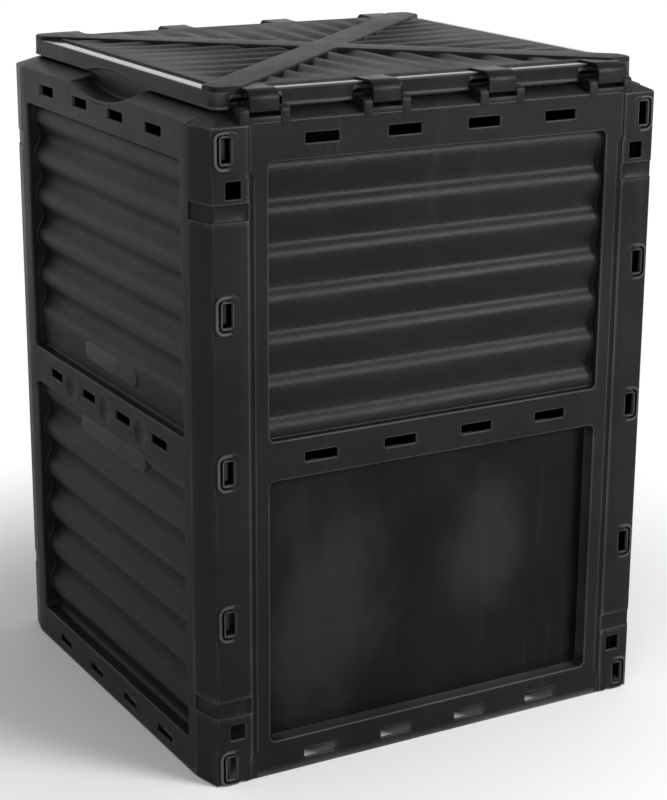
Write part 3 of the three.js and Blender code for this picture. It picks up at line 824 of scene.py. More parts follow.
def hinge_seat(x):
    """A seat on the shoulder: a base, two ears with rounded heads and the pin between them."""
    inner = STRAP_HALF + EAR_GAP
    outer = inner + EAR_WIDTH
    head = PIN_HEIGHT + EAR_RISE
    ear = [(EAR_FRONT, SEAT_FOOT), (EAR_BACK, SEAT_FOOT), (EAR_BACK, head), (EAR_FRONT, head)]
    ear = rounded(ear, EAR_ROUNDS, 6, True)
    parts = [slab(ear, ends, EAR_EDGE) for ends in ((x - outer, x - inner), (x + inner, x + outer))]
    parts.append(block((x - outer + 0.4, SEAT_FRONT, SEAT_FOOT + 1),
                       (x + outer - 0.4, EAR_BACK - 0.4, SEAT_TOP), 1.2))
    circle = arc((PIN_INSET, PIN_HEIGHT), PIN_RADIUS, 0, 360, 28)[:-1]
    parts.append(slab(circle, (x - inner - PIN_SUNK, x + inner + PIN_SUNK), 0.5, 2))
    return parts


def flange(half):
    """The flange on the ground inside a wall."""
    return block((-half, SKIN - 1, 0), (half, FOOT_FLANGE, SKIN), 0.6)


def end_wall_parts():
    """All the bodies of an end wall by piece, in the wall frame."""
    return {"frame": [end_wall_frame(), flange(VALLEY_FLOOR - 1)] + guides(),
            "columns": [end_wall_column(-1), end_wall_column(1)],
            "seats": [part for x in STRAP_X for part in hinge_seat(x)]}


def side_wall_surface(x, z, inner):
    """Bent places and depth of a side wall: windows with waved sheets, slots and dimples."""
    x, z = bent_lines(x, z, SIDE_HOLES, SIDE_WINDOW)
    depth = np.zeros_like(x)
    if not inner:
        for place in DIMPLE_X:
            away = np.hypot(x - place, z - DIMPLE_Z) / DIMPLE_RADIUS
            depth = depth + DIMPLE_DEPTH * np.clip(1 - away**2, 0, 1) ** 0.8
    last, fall, length = SHEET_FOOT
    upper = np.where(z < last, WAVE_CREST + fall * smooth((last - z) / length), wave(z, *SIDE_UPPER_WAVE))
    for window, floor in ((UPPER_WINDOW, upper), (LOWER_WINDOW, wave(z, *SIDE_LOWER_WAVE))):
        depth = sunk_window(depth, x, z, SIDE_WINDOW, window, floor, SKIN if inner else 0.0)
    return x, z, *cut_holes(depth, x, z, SIDE_HOLES, inner)


def side_wall_settle(x, z, level):
    """Height of a side wall's points: the finger scoop is a dish cut level into the shoulder."""
    radius = circle_of(SCOOP_HALF, SCOOP_DROP)
    dish = FACE_TOP - SCOOP_DROP + radius - np.sqrt(np.maximum(radius**2 - x**2, 0))
    dish = dish + np.maximum(abs(x) - SCOOP_HALF, 0) * SCOOP_SIDE_SLOPE
    inset = np.clip(level, 0, 1) * COLLAR_INSET
    top = np.minimum(FACE_TOP + inset / 3, SHOULDER[1])
    lowered = np.maximum(top - dish, 0)
    on_face = smooth((z - FACE_TOP + SCOOP_BLEND + 2) / SCOOP_BLEND)
    return z - lowered * np.where(level > 0.93, np.clip((COLLAR_TOP - z) / 10, 0, 1), on_face)


def side_wall_paths(face, face_end):
    """Plans of a side wall, the wall's own with its returns and the collar's, as for an end wall."""
    half = SIDE_HALF
    sides = []
    for inset, radius in ((0, SEAM_ROUND), (SKIN, SHARP_INSIDE)):
        corners = [(0, inset), (half - inset, inset), (half - inset, SIDE_RETURN)]
        side = rounded(corners, [0, radius, 0], 4)[1:]
        sides.append(np.concatenate([side[:5], np.linspace(side[4], side[5], 4)[1:]]))
    paths = [np.concatenate([mirrored(side), plan_path(face, face_end, side)]) for side in sides]
    count = len(sides[0])
    for inset in (COLLAR_INSET, COLLAR_INSET + SKIN):
        side = np.column_stack([np.linspace(half - 1.5, half, count), np.full(count, inset)])
        front = np.column_stack([face, np.full_like(face, inset)])
        paths.append(np.concatenate([mirrored(side), front, side]))
    return paths, count


def side_wall():
    """All the bodies of a side wall, in the wall frame."""
    edges = [(sign * SCOOP_HALF, sign, SCOOP_SPREAD) for sign in (-1, 1)]
    edges += [(place, 1, DIMPLE_SPREAD) for place in DIMPLE_X]
    face_end = SIDE_HALF - SEAM_ROUND
    face = face_columns(-face_end, face_end, SIDE_STEP, SIDE_WINDOW, edges)[1:-1]
    paths, count = side_wall_paths(face, face_end)
    run = np.cumsum(np.hypot(*np.diff(paths[0][-count:], axis=0).T))
    beyond = face[-1] + 1 + np.concatenate([[0], run])
    along = np.concatenate([-beyond[::-1], face, beyond])
    rows = face_rows(SIDE_ROW_STEP, [(DIMPLE_Z, 1, DIMPLE_SPREAD)])
    body = wall_body(along, paths, rows, side_wall_surface, side_wall_settle)
    return [body, flange(SIDE_HALF - 1)] + fields() + tongues()


def fields():
    """The bare fields that stand proud of a side wall's waves."""
    ends = (FIELD_PLANE, WAVE_VALLEY + 1)
    outlines = [rectangle((-wide, low), (wide, high), FIELD_ROUND, 8) for wide, low, high in FIELDS]
    return [swapped(slab(outline, ends, FIELD_EDGE), ALONG_Y) for outline in outlines]


def tongues():
    """The tongues that reach from a side wall into the slots of the columns."""
    near, far = SLOT_INSET - TONGUE_WIDTH / 2, SLOT_INSET + TONGUE_WIDTH / 2
    root, tip = SIDE_HALF - SKIN, HALF_DEPTH - TONGUE_RECESS
    corners = np.array([(root, near), (tip, near), (tip, far), (root, far)])
    parts = []
    for sign in (-1, 1):
        outline = rounded(corners * (sign, 1), [0.3, TONGUE_ROUND, TONGUE_ROUND, 0.3], 3, True)
        for z in SLOT_HEIGHTS:
            ends = (z - TONGUE_HEIGHT / 2, z + TONGUE_HEIGHT / 2)
            parts.append(swapped(slab(outline, ends, 0.8, 2), ALONG_Z))
    return parts


def hatch(warp):
    """A sheet with rounded corners and edges that bulges, with a ripple of a sine times a cosine."""
    wide, high = half = HATCH_HIGH[0], (HATCH_HIGH[2] - HATCH_LOW[2]) / 2
    middle = (HATCH_HIGH[2] + HATCH_LOW[2]) / 2
    lines = [grid_lines(-end, end, HATCH_STEP, both_ends(-end, end, HATCH_SPREAD)) for end in half]
    x, z = np.meshgrid(*lines, indexing="ij")
    x, z = round_corners(x, z, (0, 0), half, HATCH_ROUND, *HATCH_BEND)
    edge = convex(-within(x, z, (0, 0), half, HATCH_ROUND), HATCH_EDGE)
    inside = np.clip(1 - (x / wide) ** 4, 0, 1) * np.clip(1 - (z / high) ** 4, 0, 1)
    ripple = np.sin(x / HATCH_RIPPLE[0] + 0.6) * np.cos(z / HATCH_RIPPLE[1] + 0.9)
    sag = 0.05 + warp * inside * (1 + 0.8 * ripple)
    outer = np.dstack([x, HATCH_FRONT + sag + edge, z + middle])
    inner = np.dstack([x, HATCH_FRONT + HATCH_SKIN + sag - edge, z + middle])
    return [shell(outer, inner)]


# Surfaces of the lid, in the bin's own frame

def lid_ring(inset, lines):
    """The lid's rounded outline drawn in by an inset, always as many points.

    Lines are the places along the two pairs of sides; a ring drawn in past the corner's radius
    keeps a small radius and squeezes them.
    """
    radius = max(LID_ROUND - inset, 0.5)
    corner = np.array(LID_HALF) - inset - radius
    squeeze = corner / (np.array(LID_HALF) - LID_ROUND)
    ring = []
    for quarter in range(4):
        way = quarter % 2
        half = LID_HALF[1 - way] - inset
        places = lines[way] * squeeze[way]
        side = np.column_stack([places, np.full_like(places, -half)])
        bend = arc((corner[way], -corner[1 - way]), radius, -90, 0, 6)[1:-1]
        points = np.column_stack([np.concatenate([side, bend]), np.zeros(len(side) + len(bend))])
        ring.append(turned((points, None), quarter)[0][:, :2])
    return np.concatenate(ring)


def skirt_foot(ring):
    """Height of the skirt's foot: rounded cut-outs over the hinge seats and arches over the scoops."""
    foot = np.full(len(ring), SKIRT_FOOT)
    for x in STRAP_X:
        s = CUTOUT_HALF - abs(ring[:, 0] - x)
        round_in = np.clip(CUTOUT_ROUND - s, 0, CUTOUT_ROUND)
        rise = CUTOUT_RISE - CUTOUT_ROUND + np.sqrt(np.maximum(CUTOUT_ROUND**2 - round_in**2, 0))
        over = (abs(ring[:, 1]) > LID_HALF[1] - 0.1) & (s >= 0)
        foot = np.where(over, SKIRT_FOOT + rise * np.clip(s / 0.6, 0, 1), foot)
    radius = circle_of(ARCH_HALF, ARCH_RISE)
    arch = ARCH_RISE - radius + np.sqrt(np.maximum(radius**2 - ring[:, 1] ** 2, 0))
    return np.where(abs(ring[:, 0]) > LID_HALF[0] - 0.1, SKIRT_FOOT + np.maximum(arch, 0), foot)


def lid_edge():
    """The skirt with its beaded foot and the ledge: a closed profile carried round the lid's outline."""
    wide, deep = np.array(LID_HALF) - LID_ROUND
    edges = both_ways(STRAP_X, CUTOUT_HALF, CUTOUT_SPREAD)
    lines = (grid_lines(-wide, wide, LID_STEPS[0], edges), even(-deep, deep, LID_STEPS[1]))
    ring = lid_ring(0, lines)
    foot = skirt_foot(ring)
    end, under = LEDGE_WIDTH + 2, LEDGE_TOP - LID_SKIN
    ledge = rounded([(0.2, SKIRT_TOP), (0.3, LEDGE_TOP), (end, LEDGE_TOP)], [0, LEDGE_ROUND, 0], 6)[1:]
    flat = [(inset, np.full(len(ring), z)) for inset, z in list(ledge) + [(end, under), (5, under)]]
    outside, inside = ([(inset, foot + rise + (top - foot - rise) * share) for inset, rise, share in profile]
                       for top, profile in ((SKIRT_TOP, SKIRT_OUTSIDE), (SKIRT_TOP - 1.5, SKIRT_INSIDE)))
    rings = [np.column_stack([lid_ring(inset, lines), z]) for inset, z in outside + flat + inside]
    return np.concatenate(rings), ring_faces(len(rings), len(ring)).reshape(-1, 4).tolist()


def lid_sector(half, reach, furrow_depth):
    """One of the plateau's four sectors: furrows that run from the bands and fade towards the ledge.

    Places run across the sector, and a share runs from the band's edge to the ledge. A furrow is
    depth times (1 - share) to a power times a raised cosine across it.
    """
    line = reach - LEDGE_WIDTH
    slope = reach / half
    start = (BAND_HALF - 1.5) * math.hypot(half, reach) / half
    last = (line - start - SECTOR_TIP) / slope
    across = even(-last, last, FURROW_PITCH / FURROW_STEPS)[:, None]
    near = start + abs(across) * slope
    share = np.concatenate([np.linspace(0, 1, SECTOR_ROWS) ** 1.15, np.ones(len(SECTOR_END))])
    out, down = np.concatenate([np.zeros((SECTOR_ROWS, 2)), SECTOR_END]).T
    y = near + (line - 1.2 - near) * share + out
    x = np.repeat(across, len(share), 1)
    swing = (0.5 + 0.5 * np.cos(x / FURROW_PITCH * 2 * math.pi)) ** 1.15
    length = np.maximum((y - near - 2) / (line - near), 0)
    fade = np.maximum(1 - length, 0) ** 1.4 * smooth((line - near) / 60)
    z = PLATEAU_TOP - furrow_depth * swing * fade - down
    outer = np.dstack([x, -y, z])
    inner = np.dstack([x, -np.minimum(y, line - 2), z - LID_SKIN - 0.4])
    return shell(outer[:, ::-1], inner[:, ::-1])


def lid_furrows(furrow_depth):
    """The plateau's four sectors."""
    ways = (LID_HALF, LID_HALF[::-1])
    return [turned(lid_sector(*ways[quarter % 2], furrow_depth), quarter) for quarter in range(4)]


def lid_bands(furrow_depth):
    """The crossed bands as one cross-shaped tray, upside down, whose arms end on the lid's outline."""
    wide, deep = LID_HALF
    along = math.hypot(wide, deep)
    cosine, sine = wide / along, deep / along
    front, right = BAND_HALF / cosine, BAND_HALF / sine
    meet_front = ((deep - front) / sine) * cosine
    meet_right = ((wide - right) / cosine) * sine
    arm = [(0, -front), (meet_front, -deep), (wide, -deep), (wide, -meet_right), (right, 0)]
    bend = BAND_JOINT_ROUND
    outline, rounding = list(arm), [bend, bend, LID_ROUND, bend, bend]
    for flip, points in (((1, -1), arm[-2::-1]), ((-1, -1), arm[1:]), ((-1, 1), arm[-2:0:-1])):
        outline += [(x * flip[0], y * flip[1]) for x, y in points]
        rounding += [bend, LID_ROUND, bend, bend][:len(points)]
    outline = rounded(outline, rounding, 5, True)
    low = PLATEAU_TOP - furrow_depth - LID_SKIN
    stations = [(BAND_TOP - LID_SKIN, BAND_WALL), (low, BAND_WALL), (low, DRAFT)]
    stations += [(BAND_TOP - BAND_EDGE * (1 - math.sin(t)), DRAFT + BAND_EDGE * (1 - math.cos(t)))
                 for t in np.linspace(0, math.pi / 2, 6)]
    return swapped(ringed(outline, stations), ALONG_Z)


def strap(x):
    """A strap from the plateau over the ledge and down round the pin, open below."""
    edge, rise = LID_INSET - PIN_INSET, PLATEAU_TOP - STRAP_SKIN - PIN_HEIGHT
    inner = PIN_RADIUS + FIT_GAP
    front, root = inner + HOOK_SKIN, edge + STRAP_ROOT
    bend, under = (STRAP_BEND - front, BEND_HEIGHT), rise - LID_SKIN / 2
    outline = np.concatenate([
        [(-front, HOOK_FOOT)], arc(bend, STRAP_BEND, 180, 90, 9),
        [(edge, rise + STRAP_SKIN), (root, rise + STRAP_SKIN), (root, under), (edge, under)],
        arc(bend, STRAP_BEND - STRAP_SKIN, 90, 165, 8), arc((0, 0), front, 110, 0, 8),
        [(front, HOOK_FOOT), (inner, HOOK_FOOT)], arc((0, 0), inner, 0, 180, 16), [(-inner, HOOK_FOOT)],
    ])
    return slab(outline + (PIN_INSET - HALF_DEPTH, PIN_HEIGHT), (x - STRAP_HALF, x + STRAP_HALF), 0.6)


def lid_straps():
    """The straps over both rows of pins."""
    front = [strap(x) for x in STRAP_X]
    return front + [turned(part, 2) for part in front]


# Materials

BLACK = (0, 0, 0, 1)
WHITE = (1, 1, 1, 1)
WORLD_GREY = (0.5, 0.5, 0.5, 1)
FLOOR_GREY = (0.86, 0.86, 0.86, 1)
# Painted shade: the near black laid into inner corners and creases
CREASE_SHADE_BLACK = (0.0012, 0.0012, 0.0012, 1)

# Patterns of the plastic: scale per metre, detail, stretch, offset and roughness of the noise
CLOUD = (9, 3, (1, 1, 1), (0, 0, 0), 0.5)
FINE = (620, 2, (1, 1, 1), (0, 0, 0), 0.5)
MOTTLE = (70, 3, (1, 1, 1), (3, 1, 2), 0.5)
STREAK = (38, 4, (1, 1, 0.09), (5, 2, 7), 0.6)
SCRATCH = (240, 3, (1, 1, 0.035), (1, 9, 4), 0.7)
PATCH = (14, 2, (1, 1, 1), (8, 6, 1), 0.5)
DENTS = (11, 1, (1, 1, 1), (2, 2, 5), 0.5)
RAGGED = (13, 4, (1, 1, 0.6), (1.3, 4.4, 0.35), 0.6)

# Middle (x, z) and half size of the pale clouds painted on a hatch as its reflections
REFLECTION_CLOUDS = (((-140, 195), (95, 150)), ((88, 225), (66, 95)))

# Finishes: setting of the colour, grain, roughness, scuffs, specular level, strength of the painted edge
# highlight and crease shade, share of the painted reflection clouds and the height of a polished top
FINISHES = {
    "wall": ("wall_colour", 0.8, 0.36, 1.0, 0.085, 1.3, 0, 0),
    "seat": ("wall_colour", 0.8, 0.36, 1.0, 0.085, 0, 0, 0),
    "hatch": ("hatch_colour", 0.35, 0.30, 0.5, 0.06, 0.6, 0.36, 0),
    "lid_rim": ("lid_colour", 0.5, 0.26, 0.8, 0.06, 1.3, 0, 0.8090),
    "lid_straps": ("lid_colour", 0.6, 0.28, 0.8, 0.06, 0, 0, 0),
    "lid_bands": ("lid_colour", 1.2, 0.38, 0.8, 0.055, 0, 0, 0),
    "lid_furrows": ("lid_colour", 1.2, 0.38, 0.8, 0.05, 1.0, 0, 0),
}


class Wire:
    """A shader socket that can stand in Python sums; each operator adds a Math node."""

    def __init__(self, look, socket):
        self.look, self.socket = look, socket

    def __add__(self, other):
        return self.look.maths("ADD", self, other)

    def __sub__(self, other):
        return self.look.maths("SUBTRACT", self, other)

    def __rsub__(self, other):
        return self.look.maths("SUBTRACT", other, self)

    def __mul__(self, other):
        return self.look.maths("MULTIPLY", self, other)

    __radd__, __rmul__ = __add__, __mul__


class Look:
    """Nodes under construction, of a material or of the world."""

    def __init__(self, owner, surface):
        owner.use_nodes = True
        self.tree = owner.node_tree
        self.surface = self.tree.nodes[surface]

    def node(self, kind, settings, inputs, output=0):
        """Adds a node, with its settings first and then the values or links of its sockets."""
        made = self.tree.nodes.new(kind)
        for key, value in settings.items():
            setattr(made, key, value)
        self.feed(made, inputs)
        return Wire(self, made.outputs[output])

    def feed(self, node, inputs):
        """Sets or links sockets of a node."""
        for key, value in inputs.items():
            if isinstance(value, Wire):
                self.tree.links.new(value.socket, node.inputs[key])
            else:
                node.inputs[key].default_value = value

    def maths(self, operation, *values):
        """A Math node on these values."""
        return self.node("ShaderNodeMath", {"operation": operation}, dict(enumerate(values)))

    def blend(self, factor, first, second):
        """A colour between two colours."""
        return self.node("ShaderNodeMix", {"data_type": "RGBA"}, {0: factor, 6: first, 7: second}, 2)

    def rays(self):
        """Whether the camera looks at it, and whether it is seen in or through another surface."""
        seen, glossy, passed = (self.node("ShaderNodeLightPath", {}, {}, f"Is {kind} Ray")
                                for kind in ("Camera", "Glossy", "Transmission"))
        return seen, self.maths("MAXIMUM", glossy, passed)


class Finish(Look):
    """A material under construction, patterned on its piece's Object coordinates."""

    def __init__(self, name):
        self.material = bpy.data.materials.new(name)
        super().__init__(self.material, "Principled BSDF")
        self.place = self.node("ShaderNodeTexCoord", {}, {}, "Object")

    def noise(self, scale, detail, stretch, offset, roughness):
        """Noise over the piece, with a scale per metre, stretched and moved."""
        values = {"Vector": self.place, "Scale": stretch, "Location": offset}
        place = self.node("ShaderNodeMapping", {}, values)
        values = {"Vector": place, "Scale": scale, "Detail": detail, "Roughness": roughness}
        return self.node("ShaderNodeTexNoise", {}, values)

    def ramp(self, value, low, high):
        """A value brought smoothly from 0 at low to 1 at high."""
        values = {"Value": value, "From Min": low, "From Max": high}
        return self.node("ShaderNodeMapRange", {"interpolation_type": "SMOOTHSTEP"}, values)

    def bump(self, height, distance, strength, below=None):
        """A Bump node over a height."""
        inputs = {"Height": height, "Distance": distance, "Strength": strength}
        return self.node("ShaderNodeBump", {}, inputs | ({"Normal": below} if below else {}))

    def length(self, vector):
        """Length of a vector."""
        return self.node("ShaderNodeVectorMath", {"operation": "LENGTH"}, {0: vector}, "Value")

    def coordinate(self, axis):
        """One of the three Object coordinates."""
        return self.node("ShaderNodeSeparateXYZ", {}, {0: self.place}, axis)


def paler(colour, times, more):
    """A colour made paler: each channel times a number and a little more."""
    return tuple(min(channel * times + more, 1) for channel in colour[:3]) + (1,)


def paint_edge_highlight_and_shade(look, tone, colour, cloud, amount):
    """Convex edges made pale as a painted highlight and inner corners darkened as painted shade, except
    along the end walls' seams.

    Both follow how sharply the surface bends at a point.
    """
    bend = look.node("ShaderNodeNewGeometry", {}, {}, "Pointiness")
    across = look.maths("ABSOLUTE", look.coordinate(0))
    beside_seam = look.maths("ABSOLUTE", across - VALLEY_FLOOR * MM)
    # Painted highlight: convex edges lightened towards a pale grey.
    edge = look.ramp(bend, 0.504, 0.54) * (0.55 + cloud * 0.45) * look.ramp(beside_seam, 0.001, 0.0025)
    tone = look.blend(edge * amount, tone, paler(colour, 4, 0.06))
    # Painted shade: hollow corners and creases darkened towards near black.
    return look.blend(look.ramp(1 - bend, 0.512, 0.56) * 0.85, tone, CREASE_SHADE_BLACK)


def painted_reflection_mask(look):
    """The painted reflection clouds: distance from each one's middle, in half sizes, made ragged by noise.
    """
    ragged = look.noise(*RAGGED) - 0.5
    mask = 0.0
    for (x, z), (wide, high) in REFLECTION_CLOUDS:
        place = {"Vector": look.place, "Location": (-x / wide, 0, -z / high),
                 "Scale": (1 / (wide * MM), 0, 1 / (high * MM))}
        away = look.length(look.node("ShaderNodeMapping", {}, place))
        mask = look.maths("MAXIMUM", mask, 1 - look.ramp(away + ragged * 1.5, 0.35, 1.2))
    return mask


def plastic(name, colour, wear_and_edge_highlight, grain, roughness, scuffs, specular, edge_highlight_and_shade, reflection_cloud_share, polish_from):
    """Near-black moulded plastic: fine grain, cloudy gloss, scuffs that turn it grey and a little dust.

    One setting scales a painted highlight that makes its edges pale and turns on painted shade in its
    creases, another is the share of pale clouds painted on as reflections, and above the height polish_from
    it has a polished coat.
    """
    look = Finish(name)
    cloud = look.ramp(look.noise(*CLOUD), 0.35, 0.68)
    mottle = look.noise(*MOTTLE)
    streak = look.ramp(look.noise(*STREAK), 0.56, 0.78)
    marks = look.ramp(look.noise(*SCRATCH), 0.64, 0.74) * look.ramp(look.noise(*PATCH), 0.45, 0.7) * scuffs
    pale = paler(colour, 2.6, 0.02)
    tone = look.blend(cloud * 0.6 + mottle * 0.3, colour, paler(colour, 1.3, 0.002))
    tone = look.blend(marks * 0.55 + streak * (0.35 * wear_and_edge_highlight), tone, pale)
    rough = roughness + (mottle - 0.5) * 0.12 + cloud * 0.07 + streak * (0.1 * wear_and_edge_highlight) + marks * 0.12
    normal = look.bump(look.noise(*FINE), 0.0006 * grain, 0.6)
    normal = look.bump(mottle, 0.0009 * grain, 0.35, normal)
    normal = look.bump(look.noise(*DENTS), 0.004, 0.25, normal)
    # Painted highlight on convex edges, scaled with wear, and painted shade in creases.
    if edge_highlight_and_shade:
        tone = paint_edge_highlight_and_shade(look, tone, colour, cloud, edge_highlight_and_shade * wear_and_edge_highlight)
    # Pale clouds painted on as the hatch's reflections, with a little more roughness under them.
    if reflection_cloud_share:
        mask = painted_reflection_mask(look)
        tone = look.blend(mask * reflection_cloud_share, tone, pale)
        rough = rough + mask * 0.08
    look.feed(look.surface, {"Base Color": tone, "Roughness": rough, "Normal": normal,
                             "Specular IOR Level": specular})
    if polish_from:
        polish = look.ramp(look.coordinate(2), polish_from, polish_from + 0.0006)
        look.feed(look.surface, {"Coat Weight": polish, "Coat IOR": 1.9, "Coat Roughness": 0.08})
    return look.material


def finish_of(part, settings):
    """The finish of one part's plastic, made once."""
    name = part + "_finish"
    if name in bpy.data.materials:
        return bpy.data.materials[name]
    colour, grain, roughness, scuffs, *others = FINISHES[part]
    return plastic(name, tuple(getattr(settings, colour)), settings.wear_and_edge_highlight, grain * settings.grain, roughness,
                   scuffs * settings.wear_and_edge_highlight, *others)


# Settings and operators

def colour_setting(part, colour):
    """A colour property for one part's plastic."""
    return bpy.props.FloatVectorProperty(
        name=f"{part.capitalize()} colour", description=f"Colour of the plastic of the {part}",
        subtype="COLOR", size=4, min=0, max=1, default=colour)


class BinSettings(bpy.types.PropertyGroup):
    """Sizes, colours, wear and edge highlight of the bin."""

    furrow_depth: bpy.props.FloatProperty(
        name="Furrow depth", description="Depth of the lid's furrows beside the bands",
        unit="LENGTH", min=0, max=0.01, default=FURROW_DEPTH * MM)
    hatch_warp: bpy.props.FloatProperty(
        name="Hatch warp", description="How far the hatches' sheets bulge out of flat",
        unit="LENGTH", min=0, max=0.002, default=HATCH_WARP * MM)
    wall_colour: colour_setting("walls", (0.0046, 0.0047, 0.0050, 1))
    hatch_colour: colour_setting("hatches", (0.0032, 0.0033, 0.0035, 1))
    lid_colour: colour_setting("lid", (0.0060, 0.0061, 0.0064, 1))
    # Wear also scales the painted highlight on the plastics' convex edges.
    wear_and_edge_highlight: bpy.props.FloatProperty(
        name="Wear", description="How scuffed and dusty the plastics are", subtype="FACTOR",
        min=0, max=1, default=0.5)
    grain: bpy.props.FloatProperty(
        name="Grain", description="Depth of the moulded grain, as a share of the photographed one",
        min=0, max=3, default=1)


# Where a wall's own frame stands in the bin: quarter turns and offset
SIDES = {
    "front": (0, (0, -HALF_DEPTH, 0)), "back": (2, (0, HALF_DEPTH, 0)),
    "left": (3, (-HALF_WIDTH, 0, 0)), "right": (1, (HALF_WIDTH, 0, 0)),
}


def placed(side, parts):
    """Bodies drawn in the wall frame, put on one side of the bin."""
    return [turned(part, *SIDES[side]) for part in parts]


class BIN_OT_end_walls(bpy.types.Operator):
    """The front and back walls with their corner columns, hatch guides and hinge seats"""

    bl_idname = "compost_bin.end_walls"
    bl_label = "Front and back walls"

    def execute(self, context):
        """Places one drawing at the front and, turned, at the back."""
        pieces = end_wall_parts()
        for side in ("front", "back"):
            for piece, parts in pieces.items():
                material = finish_of("seat" if piece == "seats" else "wall", context.scene.compost_bin)
                make_piece(f"{side}_wall_{piece}", placed(side, parts), "shell", material,
                           f"{side}_wall")
        return {"FINISHED"}


class BIN_OT_side_walls(bpy.types.Operator):
    """The left and right walls with their waved sheets, bare fields, dimples and tongues"""

    bl_idname = "compost_bin.side_walls"
    bl_label = "Left and right walls"

    def execute(self, context):
        """Places one drawing at the left and the right."""
        parts = side_wall()
        for side in ("left", "right"):
            make_piece(f"{side}_wall_panel", placed(side, parts), "shell",
                       finish_of("wall", context.scene.compost_bin), f"{side}_wall")
        return {"FINISHED"}


class BIN_OT_hatches(bpy.types.Operator):
    """The two hatches that slide up behind the lower windows"""

    bl_idname = "compost_bin.hatches"
    bl_label = "Hatches"

    def execute(self, context):
        """Places one sheet behind each end wall's lower window."""
        settings = context.scene.compost_bin
        parts = hatch(settings.hatch_warp / MM)
        for side in ("front", "back"):
            make_piece(f"{side}_hatch_sheet", placed(side, parts), f"{side}_hatch",
                       finish_of("hatch", settings), f"{side}_hatch")
        return {"FINISHED"}


class BIN_OT_lid(bpy.types.Operator):
    """The lid: its rim with the ledge and skirt, furrowed plateau, crossed bands and straps"""

    bl_idname = "compost_bin.lid"
    bl_label = "Lid"

    def execute(self, context):
        """Builds the lid closed."""
        settings = context.scene.compost_bin
        depth = settings.furrow_depth / MM
        pieces = {"lid_rim": [lid_edge()], "lid_furrows": lid_furrows(depth),
                  "lid_bands": [lid_bands(depth)], "lid_straps": lid_straps()}
        for name, parts in pieces.items():
            make_piece(name, parts, "lid", finish_of(name, settings), "lid")
        return {"FINISHED"}


def link_placed(name, data, *columns):
    """A lamp or camera object with its right, up, back and place as columns of its matrix."""
    turn = np.eye(4)
    turn[:3] = np.column_stack(columns)
    made = bpy.data.objects.new(name, data)
    made.matrix_world = Matrix(turn.tolist())
    bpy.context.scene.collection.objects.link(made)
    return made


def softbox(name, place, size, power):
    """A square softbox that faces the middle of the bin."""
    data = bpy.data.lights.new(name, "AREA")
    data.size, data.energy = size, power
    back = np.array(place, float) - LIGHT_TARGET
    back /= np.linalg.norm(back)
    right = np.cross((0.0, 1.0, 0.01), back)
    right /= np.linalg.norm(right)
    link_placed(name, data, right, np.cross(back, right), back, place)


def surround():
    """A world that is white to the camera and in reflections, and plain grey as a light."""
    world = bpy.data.worlds.new("surround")
    bpy.context.scene.world = world
    look = Look(world, "Background")
    share = look.maths("MAXIMUM", *look.rays())
    look.feed(look.surface, {"Color": look.blend(share, WORLD_GREY, WHITE)})


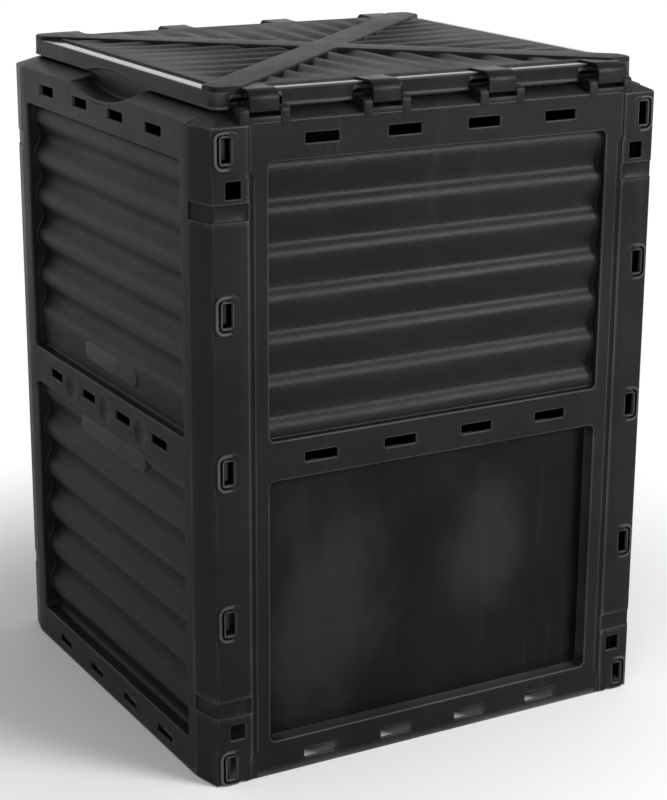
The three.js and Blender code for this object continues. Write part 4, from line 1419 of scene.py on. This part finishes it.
def pale_floor():
    """A floor that keeps the shadow near the bin and glows plain white further out.

    Its own colour fades as the glow rises, so it is never brighter than white.
    """
    look = Finish("stage_floor")
    away = look.length(look.place)
    seen, mirrored_ray = look.rays()
    share = look.maths("MAXIMUM", seen * look.ramp(away, *FLOOR_SEEN_WHITE),
                       mirrored_ray * look.ramp(away, *FLOOR_MIRRORED_WHITE))
    look.feed(look.surface, {"Base Color": look.blend(share, FLOOR_GREY, BLACK),
                             "Emission Color": look.blend(share, BLACK, WHITE),
                             "Emission Strength": 1.0, "Roughness": 0.9, "Specular IOR Level": 0.1})
    mesh = bpy.data.meshes.new("floor")
    corners = np.array([(-1, -1, 0), (1, -1, 0), (1, 1, 0), (-1, 1, 0)]) * FLOOR_REACH + (0, 0, FLOOR_HEIGHT)
    mesh.from_pydata(corners.tolist(), [], [(0, 1, 2, 3)])
    mesh.materials.append(look.material)
    floor = bpy.data.objects.new("floor", mesh)
    bpy.context.scene.collection.objects.link(floor)
    floor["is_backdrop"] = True


def photo_camera():
    """The camera at the photo's viewpoint, with its optical axis off the image's middle."""
    yaw, pitch, roll = (math.radians(CAMERA_TURNS[turn]) for turn in ("yaw", "pitch", "roll"))
    forward = np.array([math.sin(yaw) * math.cos(pitch), math.cos(yaw) * math.cos(pitch), -math.sin(pitch)])
    right = np.array([math.cos(yaw), -math.sin(yaw), 0])
    down = np.cross(forward, right)
    rolled_right = math.cos(roll) * right + math.sin(roll) * down
    rolled_down = math.cos(roll) * down - math.sin(roll) * right
    data = bpy.data.cameras.new("camera")
    data.sensor_fit = "AUTO"
    data.sensor_width = SENSOR
    long_side = max(IMAGE)
    data.lens = FOCAL_PIXELS * SENSOR / long_side
    data.shift_x = (IMAGE[0] / 2 - AXIS_PIXEL[0]) / long_side
    data.shift_y = (AXIS_PIXEL[1] - IMAGE[1] / 2) / long_side
    data.clip_end = CLIP_END
    place = np.array(CAMERA_PLACE) * MM
    bpy.context.scene.camera = link_placed("camera", data, rolled_right, -rolled_down, -forward, place)


class BIN_OT_stage(bpy.types.Operator):
    """A pale floor, soft studio lights, a white surround and the photo's camera"""

    bl_idname = "compost_bin.stage"
    bl_label = "Stage"

    def execute(self, context):
        """Builds the stage."""
        pale_floor()
        surround()
        context.scene.view_settings.view_transform = "Standard"
        for row in SOFTBOXES:
            softbox(*row)
        photo_camera()
        return {"FINISHED"}


class BIN_PT_panel(bpy.types.Panel):
    """The bin's settings and operators"""

    bl_label = "Compost Bin"
    bl_space_type = "VIEW_3D"
    bl_region_type = "UI"
    bl_category = "Compost Bin"

    def draw(self, context):
        """Lists the settings and the operators."""
        for name in BinSettings.__annotations__:
            self.layout.prop(context.scene.compost_bin, name)
        for operator in OPERATORS:
            self.layout.operator(operator.bl_idname)


OPERATORS = (BIN_OT_end_walls, BIN_OT_side_walls, BIN_OT_hatches, BIN_OT_lid, BIN_OT_stage)
CLASSES = (BinSettings,) + OPERATORS + (BIN_PT_panel,)


def register():
    """Registers the add-on's classes and its settings on the scene."""
    for cls in CLASSES:
        bpy.utils.register_class(cls)
    bpy.types.Scene.compost_bin = bpy.props.PointerProperty(type=BinSettings)


def unregister():
    """Takes the settings and the classes away again."""
    del bpy.types.Scene.compost_bin
    for cls in reversed(CLASSES):
        bpy.utils.unregister_class(cls)


def main():
    """Builds the whole scene."""
    register()
    bpy.ops.compost_bin.end_walls()
    bpy.ops.compost_bin.side_walls()
    bpy.ops.compost_bin.hatches()
    bpy.ops.compost_bin.lid()
    bpy.ops.compost_bin.stage()
    boxes = {"cad": CAD_BOX, "visual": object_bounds()}
    boxes = {name: [list(corner) for corner in box] for name, box in boxes.items()}


if __name__ == "__main__":
    main()
